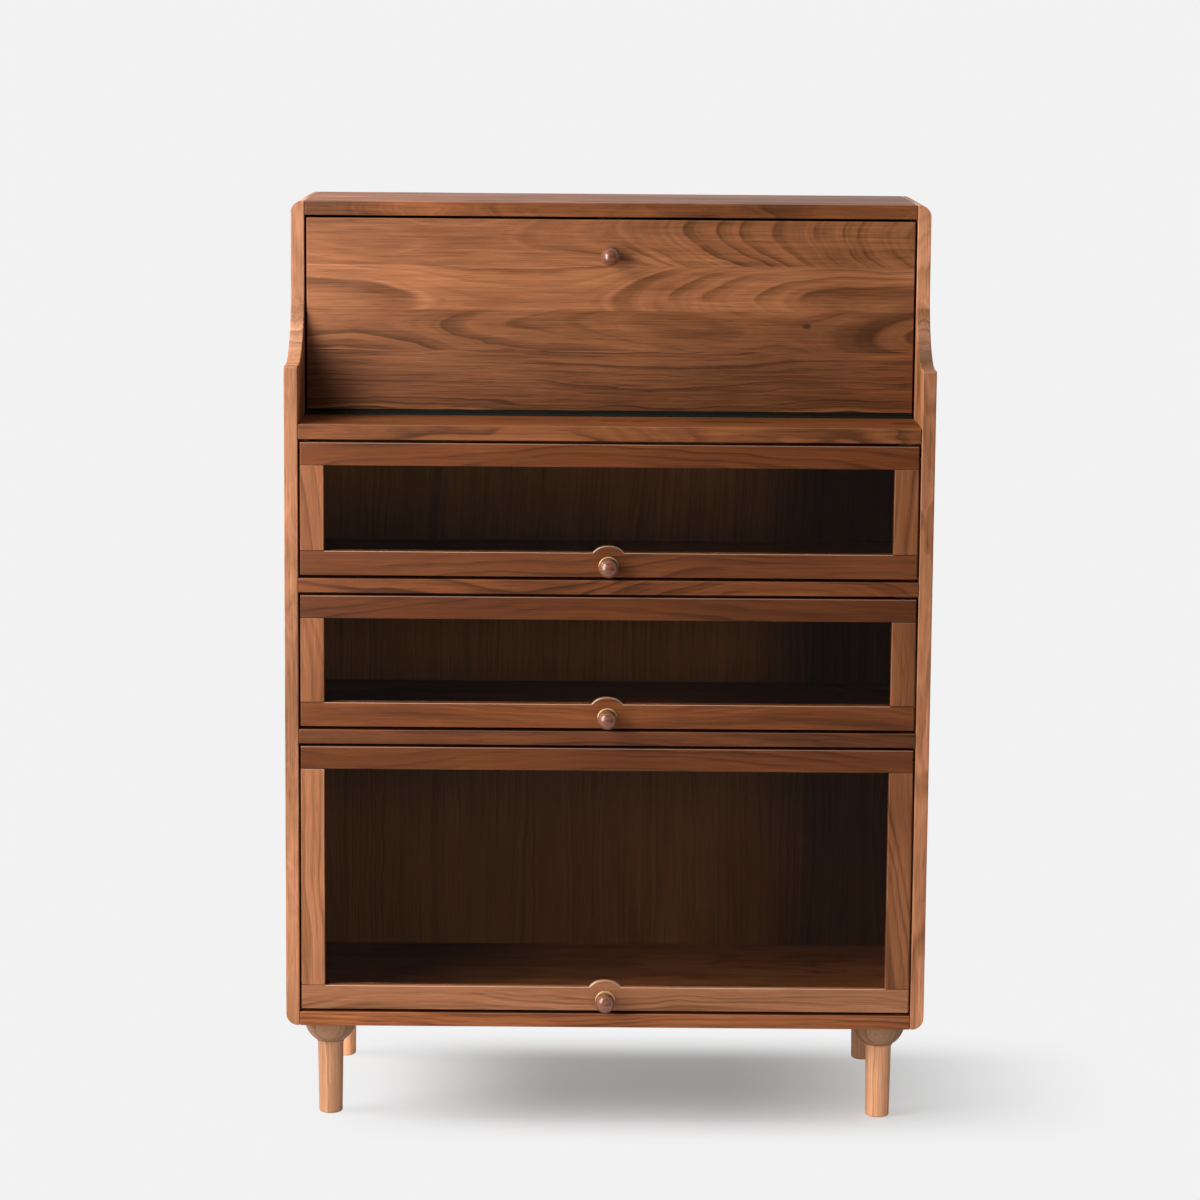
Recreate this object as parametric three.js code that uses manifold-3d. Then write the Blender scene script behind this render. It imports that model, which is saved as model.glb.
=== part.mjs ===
// Bar cabinet: a drop-down flap that folds out as a serving shelf, above three glazed
// doors that flip up. Millimetres, with X to the right, Y to the back and Z up. The
// origin lies on the floor, under the middle of the whole object, knobs included.

import * as THREE from 'three';
import { mergeVertices } from 'three/addons/utils/BufferGeometryUtils.js';
import Module from 'manifold-3d';

const wasm = await Module();
wasm.setup();

// Clearances and drawing steps
const fitGap = 0.3; // between two pieces that seat on each other
const cutOverrun = 5; // how far a cut runs past the face that it opens
const curveSteps = 12; // steps of a large arc
const filletSteps = 3; // steps of a small rounding
const turnedSides = 24; // sides of a turned piece

// Case
const caseWidth = 900;
const lowerDepth = 400;
const stepDepth = 130; // the flap's face stands this far behind the doors' faces
const sideThickness = 19;
const sideOuterRadius = 17; // rounding along the outer top and bottom edges
const ledgeRise = 80; // from the counter's top to the ledge where a side steps back
const ledgeDepth = 25;
const ledgeNoseRadius = 4;
const bottomBoardThickness = 20;
const lowerOpeningHeight = 385.5;
const dividerThickness = 20;
const middleOpeningHeight = 193.5;
const upperOpeningHeight = 194;
const counterThickness = 21;
const topBoardThickness = 20;
const backPanelThickness = 6;
const backPocketReach = 9; // the back panel's edge sits this deep in the boards around it

// Flap, the fold-out shelf
const flapHeight = 270;
const flapThickness = 19;
const flapSideGap = 3;
const flapTopGap = 3.5;
const flapBottomGap = 7.5;
const flapKnobDrop = 50.5; // from the flap's top edge to its knob's centre

// Continuous hinge under the flap
const hingeAxisRise = 0.8; // above the counter's top, in the plane of the flap's face
const hingeBarrelDiameter = 5;
const hingePinDiameter = 1.8;
const hingePinPlay = 0.4;
const hingeLeafThickness = 1.2;
const hingeLeafWidth = 15;
const hingeLeafSetback = 0.8; // the flap's leaf stands this far behind the flap's face
const hingeLeafSink = 0.2; // the case's leaf lies this far below the counter's top
const hingeKnuckleCount = 15;
const hingeKnuckleGap = 0.5;
const hingeBarrelSteps = 6;

// Doors
const doorThickness = 20;
const doorSideGap = 3;
const doorTopGap = 4;
const doorBottomGap = 4.5;
const topRailHeight = 32;
const bottomRailHeight = 34;
const stileWidth = 33;
const railTopRadius = 2;
const glassLipThickness = 9; // the frame's wood in front of the glass
const glassPocketWidth = 8;
const glassThickness = 4;
const beadSetback = 1.2; // the bead stands this far inside the frame's rear face
const tenonThickness = 7;
const tenonLength = 10;
const tenonShoulder = 4;
const doorKnobRise = 15; // from the door's bottom edge to its knob's centre
const bossRise = 10; // the bottom rail's round boss stands this far above the rail

// Pivot pins of the doors
const pivotDrop = 14; // from the door's top edge to the pivot axis
const pivotDiameter = 6;
const pivotDepthInRail = 16;
const pivotDepthInSide = 9;
const pivotSides = 16;

// Knobs
const knobBallDiameter = 28;
const knobCentreOut = 14; // from the face that the knob stands on to the ball's centre
const knobTenonDiameter = 8;
const knobTenonLength = 7.5;
const knobArcSteps = 9;
const roseDiameter = 22.5;
const roseThickness = 2.6;
const roseChamfer = 0.8;
const knobSides = 20;

// Magnetic catches
const catchWidth = 40;
const catchDepth = 14;
const catchHeight = 13;
const catchCornerRadius = 2;
const catchAirGap = 0.5;
const strikeWidth = 30;
const strikeHeight = 11;
const strikeThickness = 1.2;

// Legs
const legHeight = 140;
const legSideInset = 59; // from the side's outer face to the leg's axis
const legEndInset = 54; // from the front or back to the leg's axis
const legFootDiameter = 33.5;
const legShaftDiameter = 36.5;
const legFootRadius = 3;
const legRingDiameter = 39;
const legRingHeight = 3;
const legTenonDiameter = 20;
const legTenonLength = 12;
const collarDiameter = 75; // of the bowl between a leg and the case, where it meets the case
const collarRimHeight = 1.5;
const collarArcSteps = 8;

// Places that follow from the sizes above
const knobReach = knobCentreOut + knobBallDiameter / 2;
const frontY = (knobReach - lowerDepth) / 2;
const backY = frontY + lowerDepth;
const upperFrontY = frontY + stepDepth;
const panelFrontY = backY - backPanelThickness;
const boardBackY = panelFrontY - fitGap;
const innerHalf = caseWidth / 2 - sideThickness;
const boardHalf = innerHalf - fitGap;

const bottomBoardTop = legHeight + bottomBoardThickness;
const lowerDividerBottom = bottomBoardTop + lowerOpeningHeight;
const lowerDividerTop = lowerDividerBottom + dividerThickness;
const upperDividerBottom = lowerDividerTop + middleOpeningHeight;
const upperDividerTop = upperDividerBottom + dividerThickness;
const counterBottom = upperDividerTop + upperOpeningHeight;
const counterTop = counterBottom + counterThickness;
const flapBottom = counterTop + flapBottomGap;
const flapTop = flapBottom + flapHeight;
const topBoardBottom = flapTop + flapTopGap;
const caseTop = topBoardBottom + topBoardThickness;
const ledgeTop = counterTop + ledgeRise;
const hingeAxisZ = counterTop + hingeAxisRise;

const bowlRadius = collarDiameter / 2;
const bowlCentreZ = legHeight - fitGap - collarRimHeight;
const neckAngle = Math.asin(legRingDiameter / collarDiameter);
const collarBottom = bowlCentreZ - bowlRadius * Math.cos(neckAngle);

const doorWidth = 2 * (innerHalf - doorSideGap);
const bays = [
  { door: 'door_lower', floor: bottomBoardTop, ceiling: lowerDividerBottom },
  { door: 'door_middle', floor: lowerDividerTop, ceiling: upperDividerBottom },
  { door: 'door_upper', floor: upperDividerTop, ceiling: counterBottom },
];

// Looks
const walnut = { color: 0xa06a48, roughness: 0.42, metalness: 0 };
const walnutFrame = { color: 0x96603f, roughness: 0.42, metalness: 0 };
const walnutInside = { color: 0x6f4a34, roughness: 0.55, metalness: 0 };
const walnutLight = { color: 0xb97d55, roughness: 0.4, metalness: 0 };
const walnutPolished = { color: 0x5c3422, roughness: 0.22, metalness: 0 };
const clearGlass = { color: 0xdfe8e6, roughness: 0.04, metalness: 0, transparent: true, opacity: 0.25 };
const brass = { color: 0xb58a4a, roughness: 0.3, metalness: 1 };
const steel = { color: 0x9da0a2, roughness: 0.35, metalness: 1 };
const blackSteel = { color: 0x171613, roughness: 0.5, metalness: 0.6 };
const blackPlastic = { color: 0x1c1b1a, roughness: 0.6, metalness: 0 };

// Solid cuts and joins
function toSolid(geometry) {
  const bare = geometry.clone();
  bare.deleteAttribute('normal');
  bare.deleteAttribute('uv');
  const merged = mergeVertices(bare);
  const index = merged.index.array;
  const corners = [];
  for (let first = 0; first < index.length; first += 3) {
    const [a, b, c] = index.slice(first, first + 3);
    if (a !== b && b !== c && c !== a) corners.push(a, b, c);
  }
  const mesh = new wasm.Mesh({
    numProp: 3,
    vertProperties: merged.attributes.position.array,
    triVerts: Uint32Array.from(corners),
  });
  return new wasm.Manifold(mesh);
}

function toGeometry(solid) {
  const mesh = solid.getMesh();
  const geometry = new THREE.BufferGeometry();
  geometry.setAttribute('position', new THREE.BufferAttribute(mesh.vertProperties, 3));
  geometry.setIndex(new THREE.BufferAttribute(mesh.triVerts, 1));
  geometry.computeVertexNormals();
  return geometry;
}

function cut(geometry, tools) {
  return toGeometry(tools.reduce((solid, tool) => solid.subtract(toSolid(tool)), toSolid(geometry)));
}

function join(geometries) {
  const [first, ...others] = geometries.map(toSolid);
  return toGeometry(others.reduce((solid, other) => solid.add(other), first));
}

function common(one, other) {
  return toGeometry(toSolid(one).intersect(toSolid(other)));
}

// Plain shapes
function boxBetween([left, right], [front, back], [bottom, top]) {
  const box = new THREE.BoxGeometry(right - left, back - front, top - bottom);
  return box.translate((left + right) / 2, (front + back) / 2, (bottom + top) / 2);
}

// A rectangle whose corners are rounded by the four radii given, from the low corner round
function roundedOutline([left, right], [low, high], [lowLeft, lowRight, highRight, highLeft]) {
  const outline = new THREE.Shape();
  outline.moveTo(left, low + lowLeft);
  if (lowLeft > 0) outline.absarc(left + lowLeft, low + lowLeft, lowLeft, Math.PI, 1.5 * Math.PI, false);
  outline.lineTo(right - lowRight, low);
  if (lowRight > 0) outline.absarc(right - lowRight, low + lowRight, lowRight, 1.5 * Math.PI, 2 * Math.PI, false);
  outline.lineTo(right, high - highRight);
  if (highRight > 0) outline.absarc(right - highRight, high - highRight, highRight, 0, 0.5 * Math.PI, false);
  outline.lineTo(left + highLeft, high);
  if (highLeft > 0) outline.absarc(left + highLeft, high - highLeft, highLeft, 0.5 * Math.PI, Math.PI, false);
  outline.closePath();
  return outline;
}

// An outline drawn in Y and Z, pulled along X
function pullAlongX(outline, [left, right], steps) {
  const geometry = new THREE.ExtrudeGeometry(outline, {
    depth: right - left,
    bevelEnabled: false,
    curveSegments: steps,
  });
  const turn = new THREE.Matrix4().makeBasis(
    new THREE.Vector3(0, 1, 0),
    new THREE.Vector3(0, 0, 1),
    new THREE.Vector3(1, 0, 0),
  );
  return geometry.applyMatrix4(turn).translate(left, 0, 0);
}

// An outline drawn in X and Z, pulled along Y
function pullAlongY(outline, [front, back], steps) {
  const geometry = new THREE.ExtrudeGeometry(outline, {
    depth: back - front,
    bevelEnabled: false,
    curveSegments: steps,
  });
  const turn = new THREE.Matrix4().makeBasis(
    new THREE.Vector3(1, 0, 0),
    new THREE.Vector3(0, 0, 1),
    new THREE.Vector3(0, -1, 0),
  );
  return geometry.applyMatrix4(turn).translate(0, back, 0);
}

function rodAlongX(diameter, [left, right], sides) {
  const rod = new THREE.CylinderGeometry(diameter / 2, diameter / 2, right - left, sides);
  return rod.rotateZ(Math.PI / 2).translate((left + right) / 2, 0, 0);
}

function rodAlongY(diameter, [front, back], sides) {
  const rod = new THREE.CylinderGeometry(diameter / 2, diameter / 2, back - front, sides);
  return rod.translate(0, (front + back) / 2, 0);
}

function rodAlongZ(diameter, [bottom, top], sides) {
  const rod = new THREE.CylinderGeometry(diameter / 2, diameter / 2, top - bottom, sides);
  return rod.rotateX(Math.PI / 2).translate(0, 0, (bottom + top) / 2);
}

// A profile of [radius, height] points turned about Z
function turned(profile, sides) {
  const points = profile.map(([radius, height]) => new THREE.Vector2(radius, height));
  return new THREE.LatheGeometry(points, sides).rotateX(Math.PI / 2);
}

function addPiece(group, name, geometry, look) {
  const mesh = new THREE.Mesh(geometry, new THREE.MeshStandardMaterial(look));
  mesh.name = name;
  group.add(mesh);
  return mesh;
}

// The hollow along the case's back edges that the back panel sits in
function backPocket() {
  const half = innerHalf + backPocketReach;
  return boxBetween(
    [-half, half],
    [boardBackY, backY + cutOverrun],
    [bottomBoardTop - backPocketReach, topBoardBottom + backPocketReach],
  );
}

function pivotHeight(bay) {
  return bay.ceiling - doorTopGap - pivotDrop;
}

// Case
function sideProfile() {
  const coveRadius = stepDepth - ledgeDepth;
  const nose = ledgeNoseRadius;
  const profile = new THREE.Shape();
  profile.moveTo(backY, legHeight);
  profile.lineTo(backY, caseTop);
  profile.lineTo(upperFrontY, caseTop);
  profile.absarc(upperFrontY - coveRadius, ledgeTop + coveRadius, coveRadius, 0, -0.5 * Math.PI, true);
  profile.absarc(frontY + nose, ledgeTop - nose, nose, 0.5 * Math.PI, Math.PI, false);
  profile.lineTo(frontY, legHeight);
  profile.closePath();
  return profile;
}

function sidePanel(sideSign) {
  const inner = sideSign * innerHalf;
  const outer = (sideSign * caseWidth) / 2;
  const across = [Math.min(inner, outer), Math.max(inner, outer)];
  const round = Math.min(sideOuterRadius, sideThickness - fitGap);
  const corners = sideSign > 0 ? [0, round, round, 0] : [round, 0, 0, round];
  const seenFromFront = roundedOutline(across, [legHeight, caseTop], corners);
  const board = common(
    pullAlongX(sideProfile(), across, curveSteps),
    pullAlongY(seenFromFront, [frontY - cutOverrun, backY + cutOverrun], curveSteps),
  );
  const boreEnd = inner + sideSign * pivotDepthInSide;
  const boreStart = inner - sideSign * cutOverrun;
  const boreSpan = [Math.min(boreStart, boreEnd), Math.max(boreStart, boreEnd)];
  const bores = bays.map((bay) =>
    rodAlongX(pivotDiameter + 2 * fitGap, boreSpan, pivotSides).translate(
      0,
      frontY + doorThickness / 2,
      pivotHeight(bay),
    ),
  );
  return cut(board, [backPocket(), ...bores]);
}

function counterBoard() {
  const board = boxBetween([-boardHalf, boardHalf], [frontY, boardBackY], [counterBottom, counterTop]);
  const cutHalf = innerHalf - flapSideGap + fitGap;
  const groove = rodAlongX(hingeBarrelDiameter + 2 * fitGap, [-cutHalf, cutHalf], pivotSides);
  groove.translate(0, upperFrontY, hingeAxisZ);
  const leafBed = boxBetween(
    [-cutHalf, cutHalf],
    [upperFrontY, upperFrontY + hingeLeafWidth + fitGap],
    [counterTop - hingeLeafSink - hingeLeafThickness - fitGap, counterTop + cutOverrun],
  );
  return cut(board, [groove, leafBed]);
}

function legPlaces() {
  const x = caseWidth / 2 - legSideInset;
  return [
    { name: 'front_left', x: -x, y: frontY + legEndInset },
    { name: 'front_right', x, y: frontY + legEndInset },
    { name: 'rear_left', x: -x, y: backY - legEndInset },
    { name: 'rear_right', x, y: backY - legEndInset },
  ];
}

function bottomBoard() {
  const board = boxBetween([-boardHalf, boardHalf], [frontY, backY], [legHeight, bottomBoardTop]);
  const sockets = legPlaces().map((place) =>
    rodAlongZ(
      legTenonDiameter + 2 * fitGap,
      [legHeight - cutOverrun, legHeight + legTenonLength + fitGap],
      turnedSides,
    ).translate(place.x, place.y, 0),
  );
  return cut(board, [backPocket(), ...sockets]);
}

function addCase(cabinet) {
  addPiece(cabinet, 'side_panel_left', sidePanel(-1), walnut);
  addPiece(cabinet, 'side_panel_right', sidePanel(1), walnut);

  const topSpan = [topBoardBottom, caseTop];
  const topBoard = boxBetween([-boardHalf, boardHalf], [upperFrontY, backY], topSpan);
  addPiece(cabinet, 'top_board', cut(topBoard, [backPocket()]), walnut);
  addPiece(cabinet, 'counter_board', counterBoard(), walnut);
  addPiece(cabinet, 'bottom_board', bottomBoard(), walnut);

  const dividers = { divider_upper: upperDividerBottom, divider_lower: lowerDividerBottom };
  for (const [name, bottom] of Object.entries(dividers)) {
    const span = [bottom, bottom + dividerThickness];
    addPiece(cabinet, name, boxBetween([-boardHalf, boardHalf], [frontY, boardBackY], span), walnut);
  }

  const panelHalf = innerHalf + backPocketReach - fitGap;
  const panelSpan = [
    bottomBoardTop - backPocketReach + fitGap,
    topBoardBottom + backPocketReach - fitGap,
  ];
  const panel = boxBetween([-panelHalf, panelHalf], [panelFrontY, backY], panelSpan);
  addPiece(cabinet, 'back_panel', panel, walnutInside);
}

// Legs
function legShape() {
  const shaftTop = collarBottom - fitGap;
  const ringBottom = shaftTop - legRingHeight;
  const ringMiddle = shaftTop - legRingHeight / 2;
  const footEdge = legFootDiameter / 2 - legFootRadius;
  const footRounding = [];
  for (let step = 0; step <= filletSteps; step += 1) {
    const angle = (0.5 * Math.PI * step) / filletSteps;
    footRounding.push([
      footEdge + legFootRadius * Math.sin(angle),
      legFootRadius * (1 - Math.cos(angle)),
    ]);
  }
  const tenonRadius = legTenonDiameter / 2;
  const tenonTop = legHeight + legTenonLength;
  return turned(
    [
      [0, 0],
      ...footRounding,
      [legShaftDiameter / 2, ringBottom],
      [legRingDiameter / 2, ringMiddle],
      [legShaftDiameter / 2, shaftTop],
      [tenonRadius, shaftTop],
      [tenonRadius, tenonTop],
      [0, tenonTop],
    ],
    turnedSides,
  );
}

function collarShape() {
  const top = legHeight - fitGap;
  const bowl = [];
  for (let step = 0; step <= collarArcSteps; step += 1) {
    const angle = neckAngle + ((0.5 * Math.PI - neckAngle) * step) / collarArcSteps;
    bowl.push([bowlRadius * Math.sin(angle), bowlCentreZ - bowlRadius * Math.cos(angle)]);
  }
  const hole = legTenonDiameter / 2 + fitGap;
  return turned(
    [[hole, collarBottom], ...bowl, [bowlRadius, top], [hole, top], [hole, collarBottom]],
    turnedSides,
  );
}

function addLegs(cabinet) {
  for (const place of legPlaces()) {
    const corner = new THREE.Group();
    corner.position.set(place.x, place.y, 0);
    addPiece(corner, `leg_${place.name}`, legShape(), walnutLight);
    addPiece(corner, `leg_collar_${place.name}`, collarShape(), walnutLight);
    cabinet.add(corner);
  }
}

// Knobs, drawn standing on the plane Z = 0 and then turned to point forwards
function knobShape() {
  const radius = knobBallDiameter / 2;
  const seat = roseThickness + fitGap;
  const seatAngle = Math.asin((seat - knobCentreOut) / radius);
  const ball = [];
  for (let step = 0; step <= knobArcSteps; step += 1) {
    const angle = seatAngle + ((0.5 * Math.PI - seatAngle) * step) / knobArcSteps;
    ball.push([radius * Math.cos(angle), knobCentreOut + radius * Math.sin(angle)]);
  }
  ball[ball.length - 1][0] = 0;
  const tenonRadius = knobTenonDiameter / 2;
  return turned(
    [[0, -knobTenonLength], [tenonRadius, -knobTenonLength], [tenonRadius, seat], ...ball],
    knobSides,
  );
}

function roseShape() {
  const outer = roseDiameter / 2;
  const hole = knobTenonDiameter / 2 + fitGap;
  return turned(
    [
      [hole, fitGap],
      [outer, fitGap],
      [outer, roseThickness - roseChamfer],
      [outer - roseChamfer, roseThickness],
      [hole, roseThickness],
      [hole, fitGap],
    ],
    knobSides,
  );
}

function addKnob(group, owner, height) {
  const stand = new THREE.Group();
  stand.position.set(0, 0, height);
  stand.rotation.x = Math.PI / 2;
  addPiece(stand, `${owner}_knob`, knobShape(), walnutPolished);
  addPiece(stand, `${owner}_knob_rose`, roseShape(), brass);
  group.add(stand);
}

// The hole that a knob's tenon needs, in a board whose face is the plane Y = 0
function knobHole(height) {
  const depth = knobTenonLength + fitGap;
  return rodAlongY(knobTenonDiameter + 2 * fitGap, [-cutOverrun, depth], knobSides).translate(0, 0, height);
}

// Magnetic catches and the steel plates that they hold
function addStrike(group, owner, faceY, height) {
  const half = strikeWidth / 2;
  const plate = boxBetween(
    [-half, half],
    [faceY + fitGap, faceY + fitGap + strikeThickness],
    [height - strikeHeight / 2, height + strikeHeight / 2],
  );
  addPiece(group, `${owner}_strike`, plate, steel);
}

function addCatch(group, owner, faceY, height) {
  const radius = catchCornerRadius;
  const start = faceY + fitGap + strikeThickness + catchAirGap;
  const outline = roundedOutline(
    [-catchWidth / 2, catchWidth / 2],
    [height - catchHeight / 2, height + catchHeight / 2],
    [radius, radius, radius, radius],
  );
  addPiece(group, `${owner}_catch`, pullAlongY(outline, [start, start + catchDepth], filletSteps), blackPlastic);
}

// The flap and its hinge stand in groups whose X axis is the hinge's axis
const flapHalf = innerHalf - flapSideGap;
const flapFoot = flapBottom - hingeAxisZ; // from the hinge's axis to the flap's bottom edge
const barrelClear = hingeBarrelDiameter / 2 + fitGap;
const knucklePitch = (2 * flapHalf) / hingeKnuckleCount;
const leafGripDepth = (hingeBarrelDiameter + hingePinDiameter + hingePinPlay) / 4;

function knuckle(place) {
  const ring = new THREE.Shape();
  ring.absarc(0, 0, hingeBarrelDiameter / 2, 0, 2 * Math.PI, false);
  const bore = new THREE.Path();
  bore.absarc(0, 0, (hingePinDiameter + hingePinPlay) / 2, 0, 2 * Math.PI, true);
  ring.holes.push(bore);
  return pullAlongX(ring, knuckleSpan(place), hingeBarrelSteps);
}

function knuckleSpan(place) {
  const left = -flapHalf + place * knucklePitch;
  return [left + hingeKnuckleGap / 2, left + knucklePitch - hingeKnuckleGap / 2];
}

function knucklePlaces(firstPlace) {
  const places = [];
  for (let place = firstPlace; place < hingeKnuckleCount; place += 2) places.push(place);
  return places;
}

function flapLeaf() {
  const top = flapFoot - fitGap;
  const upright = [hingeLeafSetback, hingeLeafSetback + hingeLeafThickness];
  const strip = boxBetween([-flapHalf, flapHalf], upright, [barrelClear, top]);
  const under = boxBetween(
    [-flapHalf, flapHalf],
    [hingeLeafSetback, hingeLeafSetback + hingeLeafWidth],
    [top - hingeLeafThickness, top],
  );
  const knuckles = knucklePlaces(1).flatMap((place) => [
    knuckle(place),
    boxBetween(knuckleSpan(place), upright, [leafGripDepth, barrelClear + fitGap]),
  ]);
  return join([strip, under, ...knuckles]);
}

function caseLeaf() {
  const top = counterTop - hingeLeafSink - hingeAxisZ;
  const level = [top - hingeLeafThickness, top];
  const strip = boxBetween([-flapHalf, flapHalf], [barrelClear, hingeLeafWidth], level);
  const knuckles = knucklePlaces(0).flatMap((place) => [
    knuckle(place),
    boxBetween(knuckleSpan(place), [leafGripDepth, barrelClear + fitGap], level),
  ]);
  return join([strip, ...knuckles]);
}

function addFlap(cabinet) {
  const flap = new THREE.Group();
  flap.position.set(0, upperFrontY, hingeAxisZ);
  const top = flapFoot + flapHeight;
  const board = boxBetween([-flapHalf, flapHalf], [0, flapThickness], [flapFoot, top]);
  const knobHeight = top - flapKnobDrop;
  addPiece(flap, 'flap_panel', cut(board, [knobHole(knobHeight)]), walnut);
  addKnob(flap, 'flap', knobHeight);
  addPiece(flap, 'flap_hinge_leaf', flapLeaf(), blackSteel);
  addPiece(flap, 'case_hinge_leaf', caseLeaf(), blackSteel);
  addPiece(flap, 'hinge_pin', rodAlongX(hingePinDiameter, [-flapHalf, flapHalf], pivotSides), steel);

  const catchMiddle = topBoardBottom - fitGap - catchHeight / 2 - hingeAxisZ;
  const strikeMiddle = Math.min(catchMiddle, top - strikeHeight / 2);
  addStrike(flap, 'flap', flapThickness, strikeMiddle);
  addCatch(flap, 'flap', flapThickness, catchMiddle);
  cabinet.add(flap);
}

// Doors, each drawn in a group whose origin is the middle of its front bottom edge
const openingHalf = doorWidth / 2 - stileWidth;

function glassPocket(doorHeight) {
  const half = openingHalf + glassPocketWidth;
  return boxBetween(
    [-half, half],
    [glassLipThickness, doorThickness + cutOverrun],
    [bottomRailHeight - glassPocketWidth, doorHeight - topRailHeight + glassPocketWidth],
  );
}

// The stub tenon at one end of a stile, larger all round by the gap given
function tenon(sideSign, [bottom, top], gap) {
  const outer = sideSign * (doorWidth / 2 - tenonShoulder + gap);
  const inner = sideSign * (openingHalf + glassPocketWidth + tenonShoulder - gap);
  const middle = doorThickness / 2;
  return boxBetween(
    [Math.min(outer, inner), Math.max(outer, inner)],
    [middle - tenonThickness / 2 - gap, middle + tenonThickness / 2 + gap],
    [bottom, top],
  );
}

function doorTopRail(doorHeight) {
  const low = doorHeight - topRailHeight;
  const section = roundedOutline([0, doorThickness], [low, doorHeight], [0, 0, railTopRadius, railTopRadius]);
  const rail = pullAlongX(section, [-doorWidth / 2, doorWidth / 2], filletSteps);
  const mortiseSpan = [low - cutOverrun, low + tenonLength + fitGap];
  const mortises = [-1, 1].map((sign) => tenon(sign, mortiseSpan, fitGap));
  const boreEnd = doorWidth / 2 - pivotDepthInRail;
  const boreStart = doorWidth / 2 + cutOverrun;
  const bores = [[-boreStart, -boreEnd], [boreEnd, boreStart]].map((span) =>
    rodAlongX(pivotDiameter + 2 * fitGap, span, pivotSides).translate(
      0,
      doorThickness / 2,
      doorHeight - pivotDrop,
    ),
  );
  return cut(rail, [glassPocket(doorHeight), ...mortises, ...bores]);
}

// The rail swells up round the knob in a circular boss that shares the knob's centre
function doorBottomRail(doorHeight) {
  const shoulder = bottomRailHeight - doorKnobRise;
  const bossRadius = shoulder + bossRise;
  const start = Math.asin(shoulder / bossRadius);
  const outline = new THREE.Shape();
  outline.moveTo(-doorWidth / 2, 0);
  outline.lineTo(doorWidth / 2, 0);
  outline.lineTo(doorWidth / 2, bottomRailHeight);
  outline.absarc(0, doorKnobRise, bossRadius, start, Math.PI - start, false);
  outline.lineTo(-doorWidth / 2, bottomRailHeight);
  outline.closePath();
  const rail = pullAlongY(outline, [0, doorThickness], curveSteps);
  const mortiseSpan = [bottomRailHeight - tenonLength - fitGap, bottomRailHeight + cutOverrun];
  const mortises = [-1, 1].map((sign) => tenon(sign, mortiseSpan, fitGap));
  return cut(rail, [glassPocket(doorHeight), ...mortises, knobHole(doorKnobRise)]);
}

function doorStile(sideSign, doorHeight) {
  const outer = (sideSign * doorWidth) / 2;
  const inner = sideSign * openingHalf;
  const foot = bottomRailHeight + fitGap;
  const head = doorHeight - topRailHeight - fitGap;
  const board = boxBetween(
    [Math.min(outer, inner), Math.max(outer, inner)],
    [0, doorThickness],
    [foot, head],
  );
  const tenons = [
    tenon(sideSign, [foot - tenonLength, foot + fitGap], 0),
    tenon(sideSign, [head - fitGap, head + tenonLength], 0),
  ];
  return join([cut(board, [glassPocket(doorHeight)]), ...tenons]);
}

function glassPane(doorHeight) {
  const reach = glassPocketWidth - fitGap;
  const half = openingHalf + reach;
  const front = glassLipThickness + fitGap;
  return boxBetween(
    [-half, half],
    [front, front + glassThickness],
    [bottomRailHeight - reach, doorHeight - topRailHeight + reach],
  );
}

// The bead fills the rest of the pocket behind the glass, flush with the frame's opening
function glassBead(doorHeight) {
  const reach = glassPocketWidth - fitGap;
  const half = openingHalf + reach;
  const square = [0, 0, 0, 0];
  const low = bottomRailHeight;
  const high = doorHeight - topRailHeight;
  const outline = roundedOutline([-half, half], [low - reach, high + reach], square);
  outline.holes.push(roundedOutline([-openingHalf, openingHalf], [low, high], square));
  const start = glassLipThickness + glassThickness + 2 * fitGap;
  return pullAlongY(outline, [start, doorThickness - beadSetback], filletSteps);
}

function addPivots(door, owner, doorHeight) {
  const tip = doorWidth / 2 + doorSideGap + pivotDepthInSide - fitGap;
  const root = doorWidth / 2 - pivotDepthInRail + fitGap;
  const spans = { left: [-tip, -root], right: [root, tip] };
  for (const [side, span] of Object.entries(spans)) {
    const pin = addPiece(door, `${owner}_pivot_${side}`, rodAlongX(pivotDiameter, span, pivotSides), steel);
    pin.position.set(0, doorThickness / 2, doorHeight - pivotDrop);
  }
}

function addDoor(cabinet, bay) {
  const door = new THREE.Group();
  door.position.set(0, frontY, bay.floor + doorBottomGap);
  const height = bay.ceiling - bay.floor - doorTopGap - doorBottomGap;
  const name = bay.door;
  addPiece(door, `${name}_top_rail`, doorTopRail(height), walnutFrame);
  addPiece(door, `${name}_bottom_rail`, doorBottomRail(height), walnutFrame);
  addPiece(door, `${name}_stile_left`, doorStile(-1, height), walnutFrame);
  addPiece(door, `${name}_stile_right`, doorStile(1, height), walnutFrame);
  addPiece(door, `${name}_glass`, glassPane(height), clearGlass);
  addPiece(door, `${name}_glass_bead`, glassBead(height), walnutInside);
  addPivots(door, name, height);
  addKnob(door, name, doorKnobRise);

  const catchMiddle = fitGap + catchHeight / 2 - doorBottomGap;
  const strikeMiddle = Math.max(catchMiddle, strikeHeight / 2);
  addStrike(door, name, doorThickness, strikeMiddle);
  addCatch(door, name, doorThickness, catchMiddle);
  cabinet.add(door);
}

const cabinet = new THREE.Group();
addCase(cabinet);
addLegs(cabinet);
addFlap(cabinet);
for (const bay of bays) addDoor(cabinet, bay);

export default cabinet;
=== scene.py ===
import math

import bmesh
import bpy
from mathutils import Matrix, Vector


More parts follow.
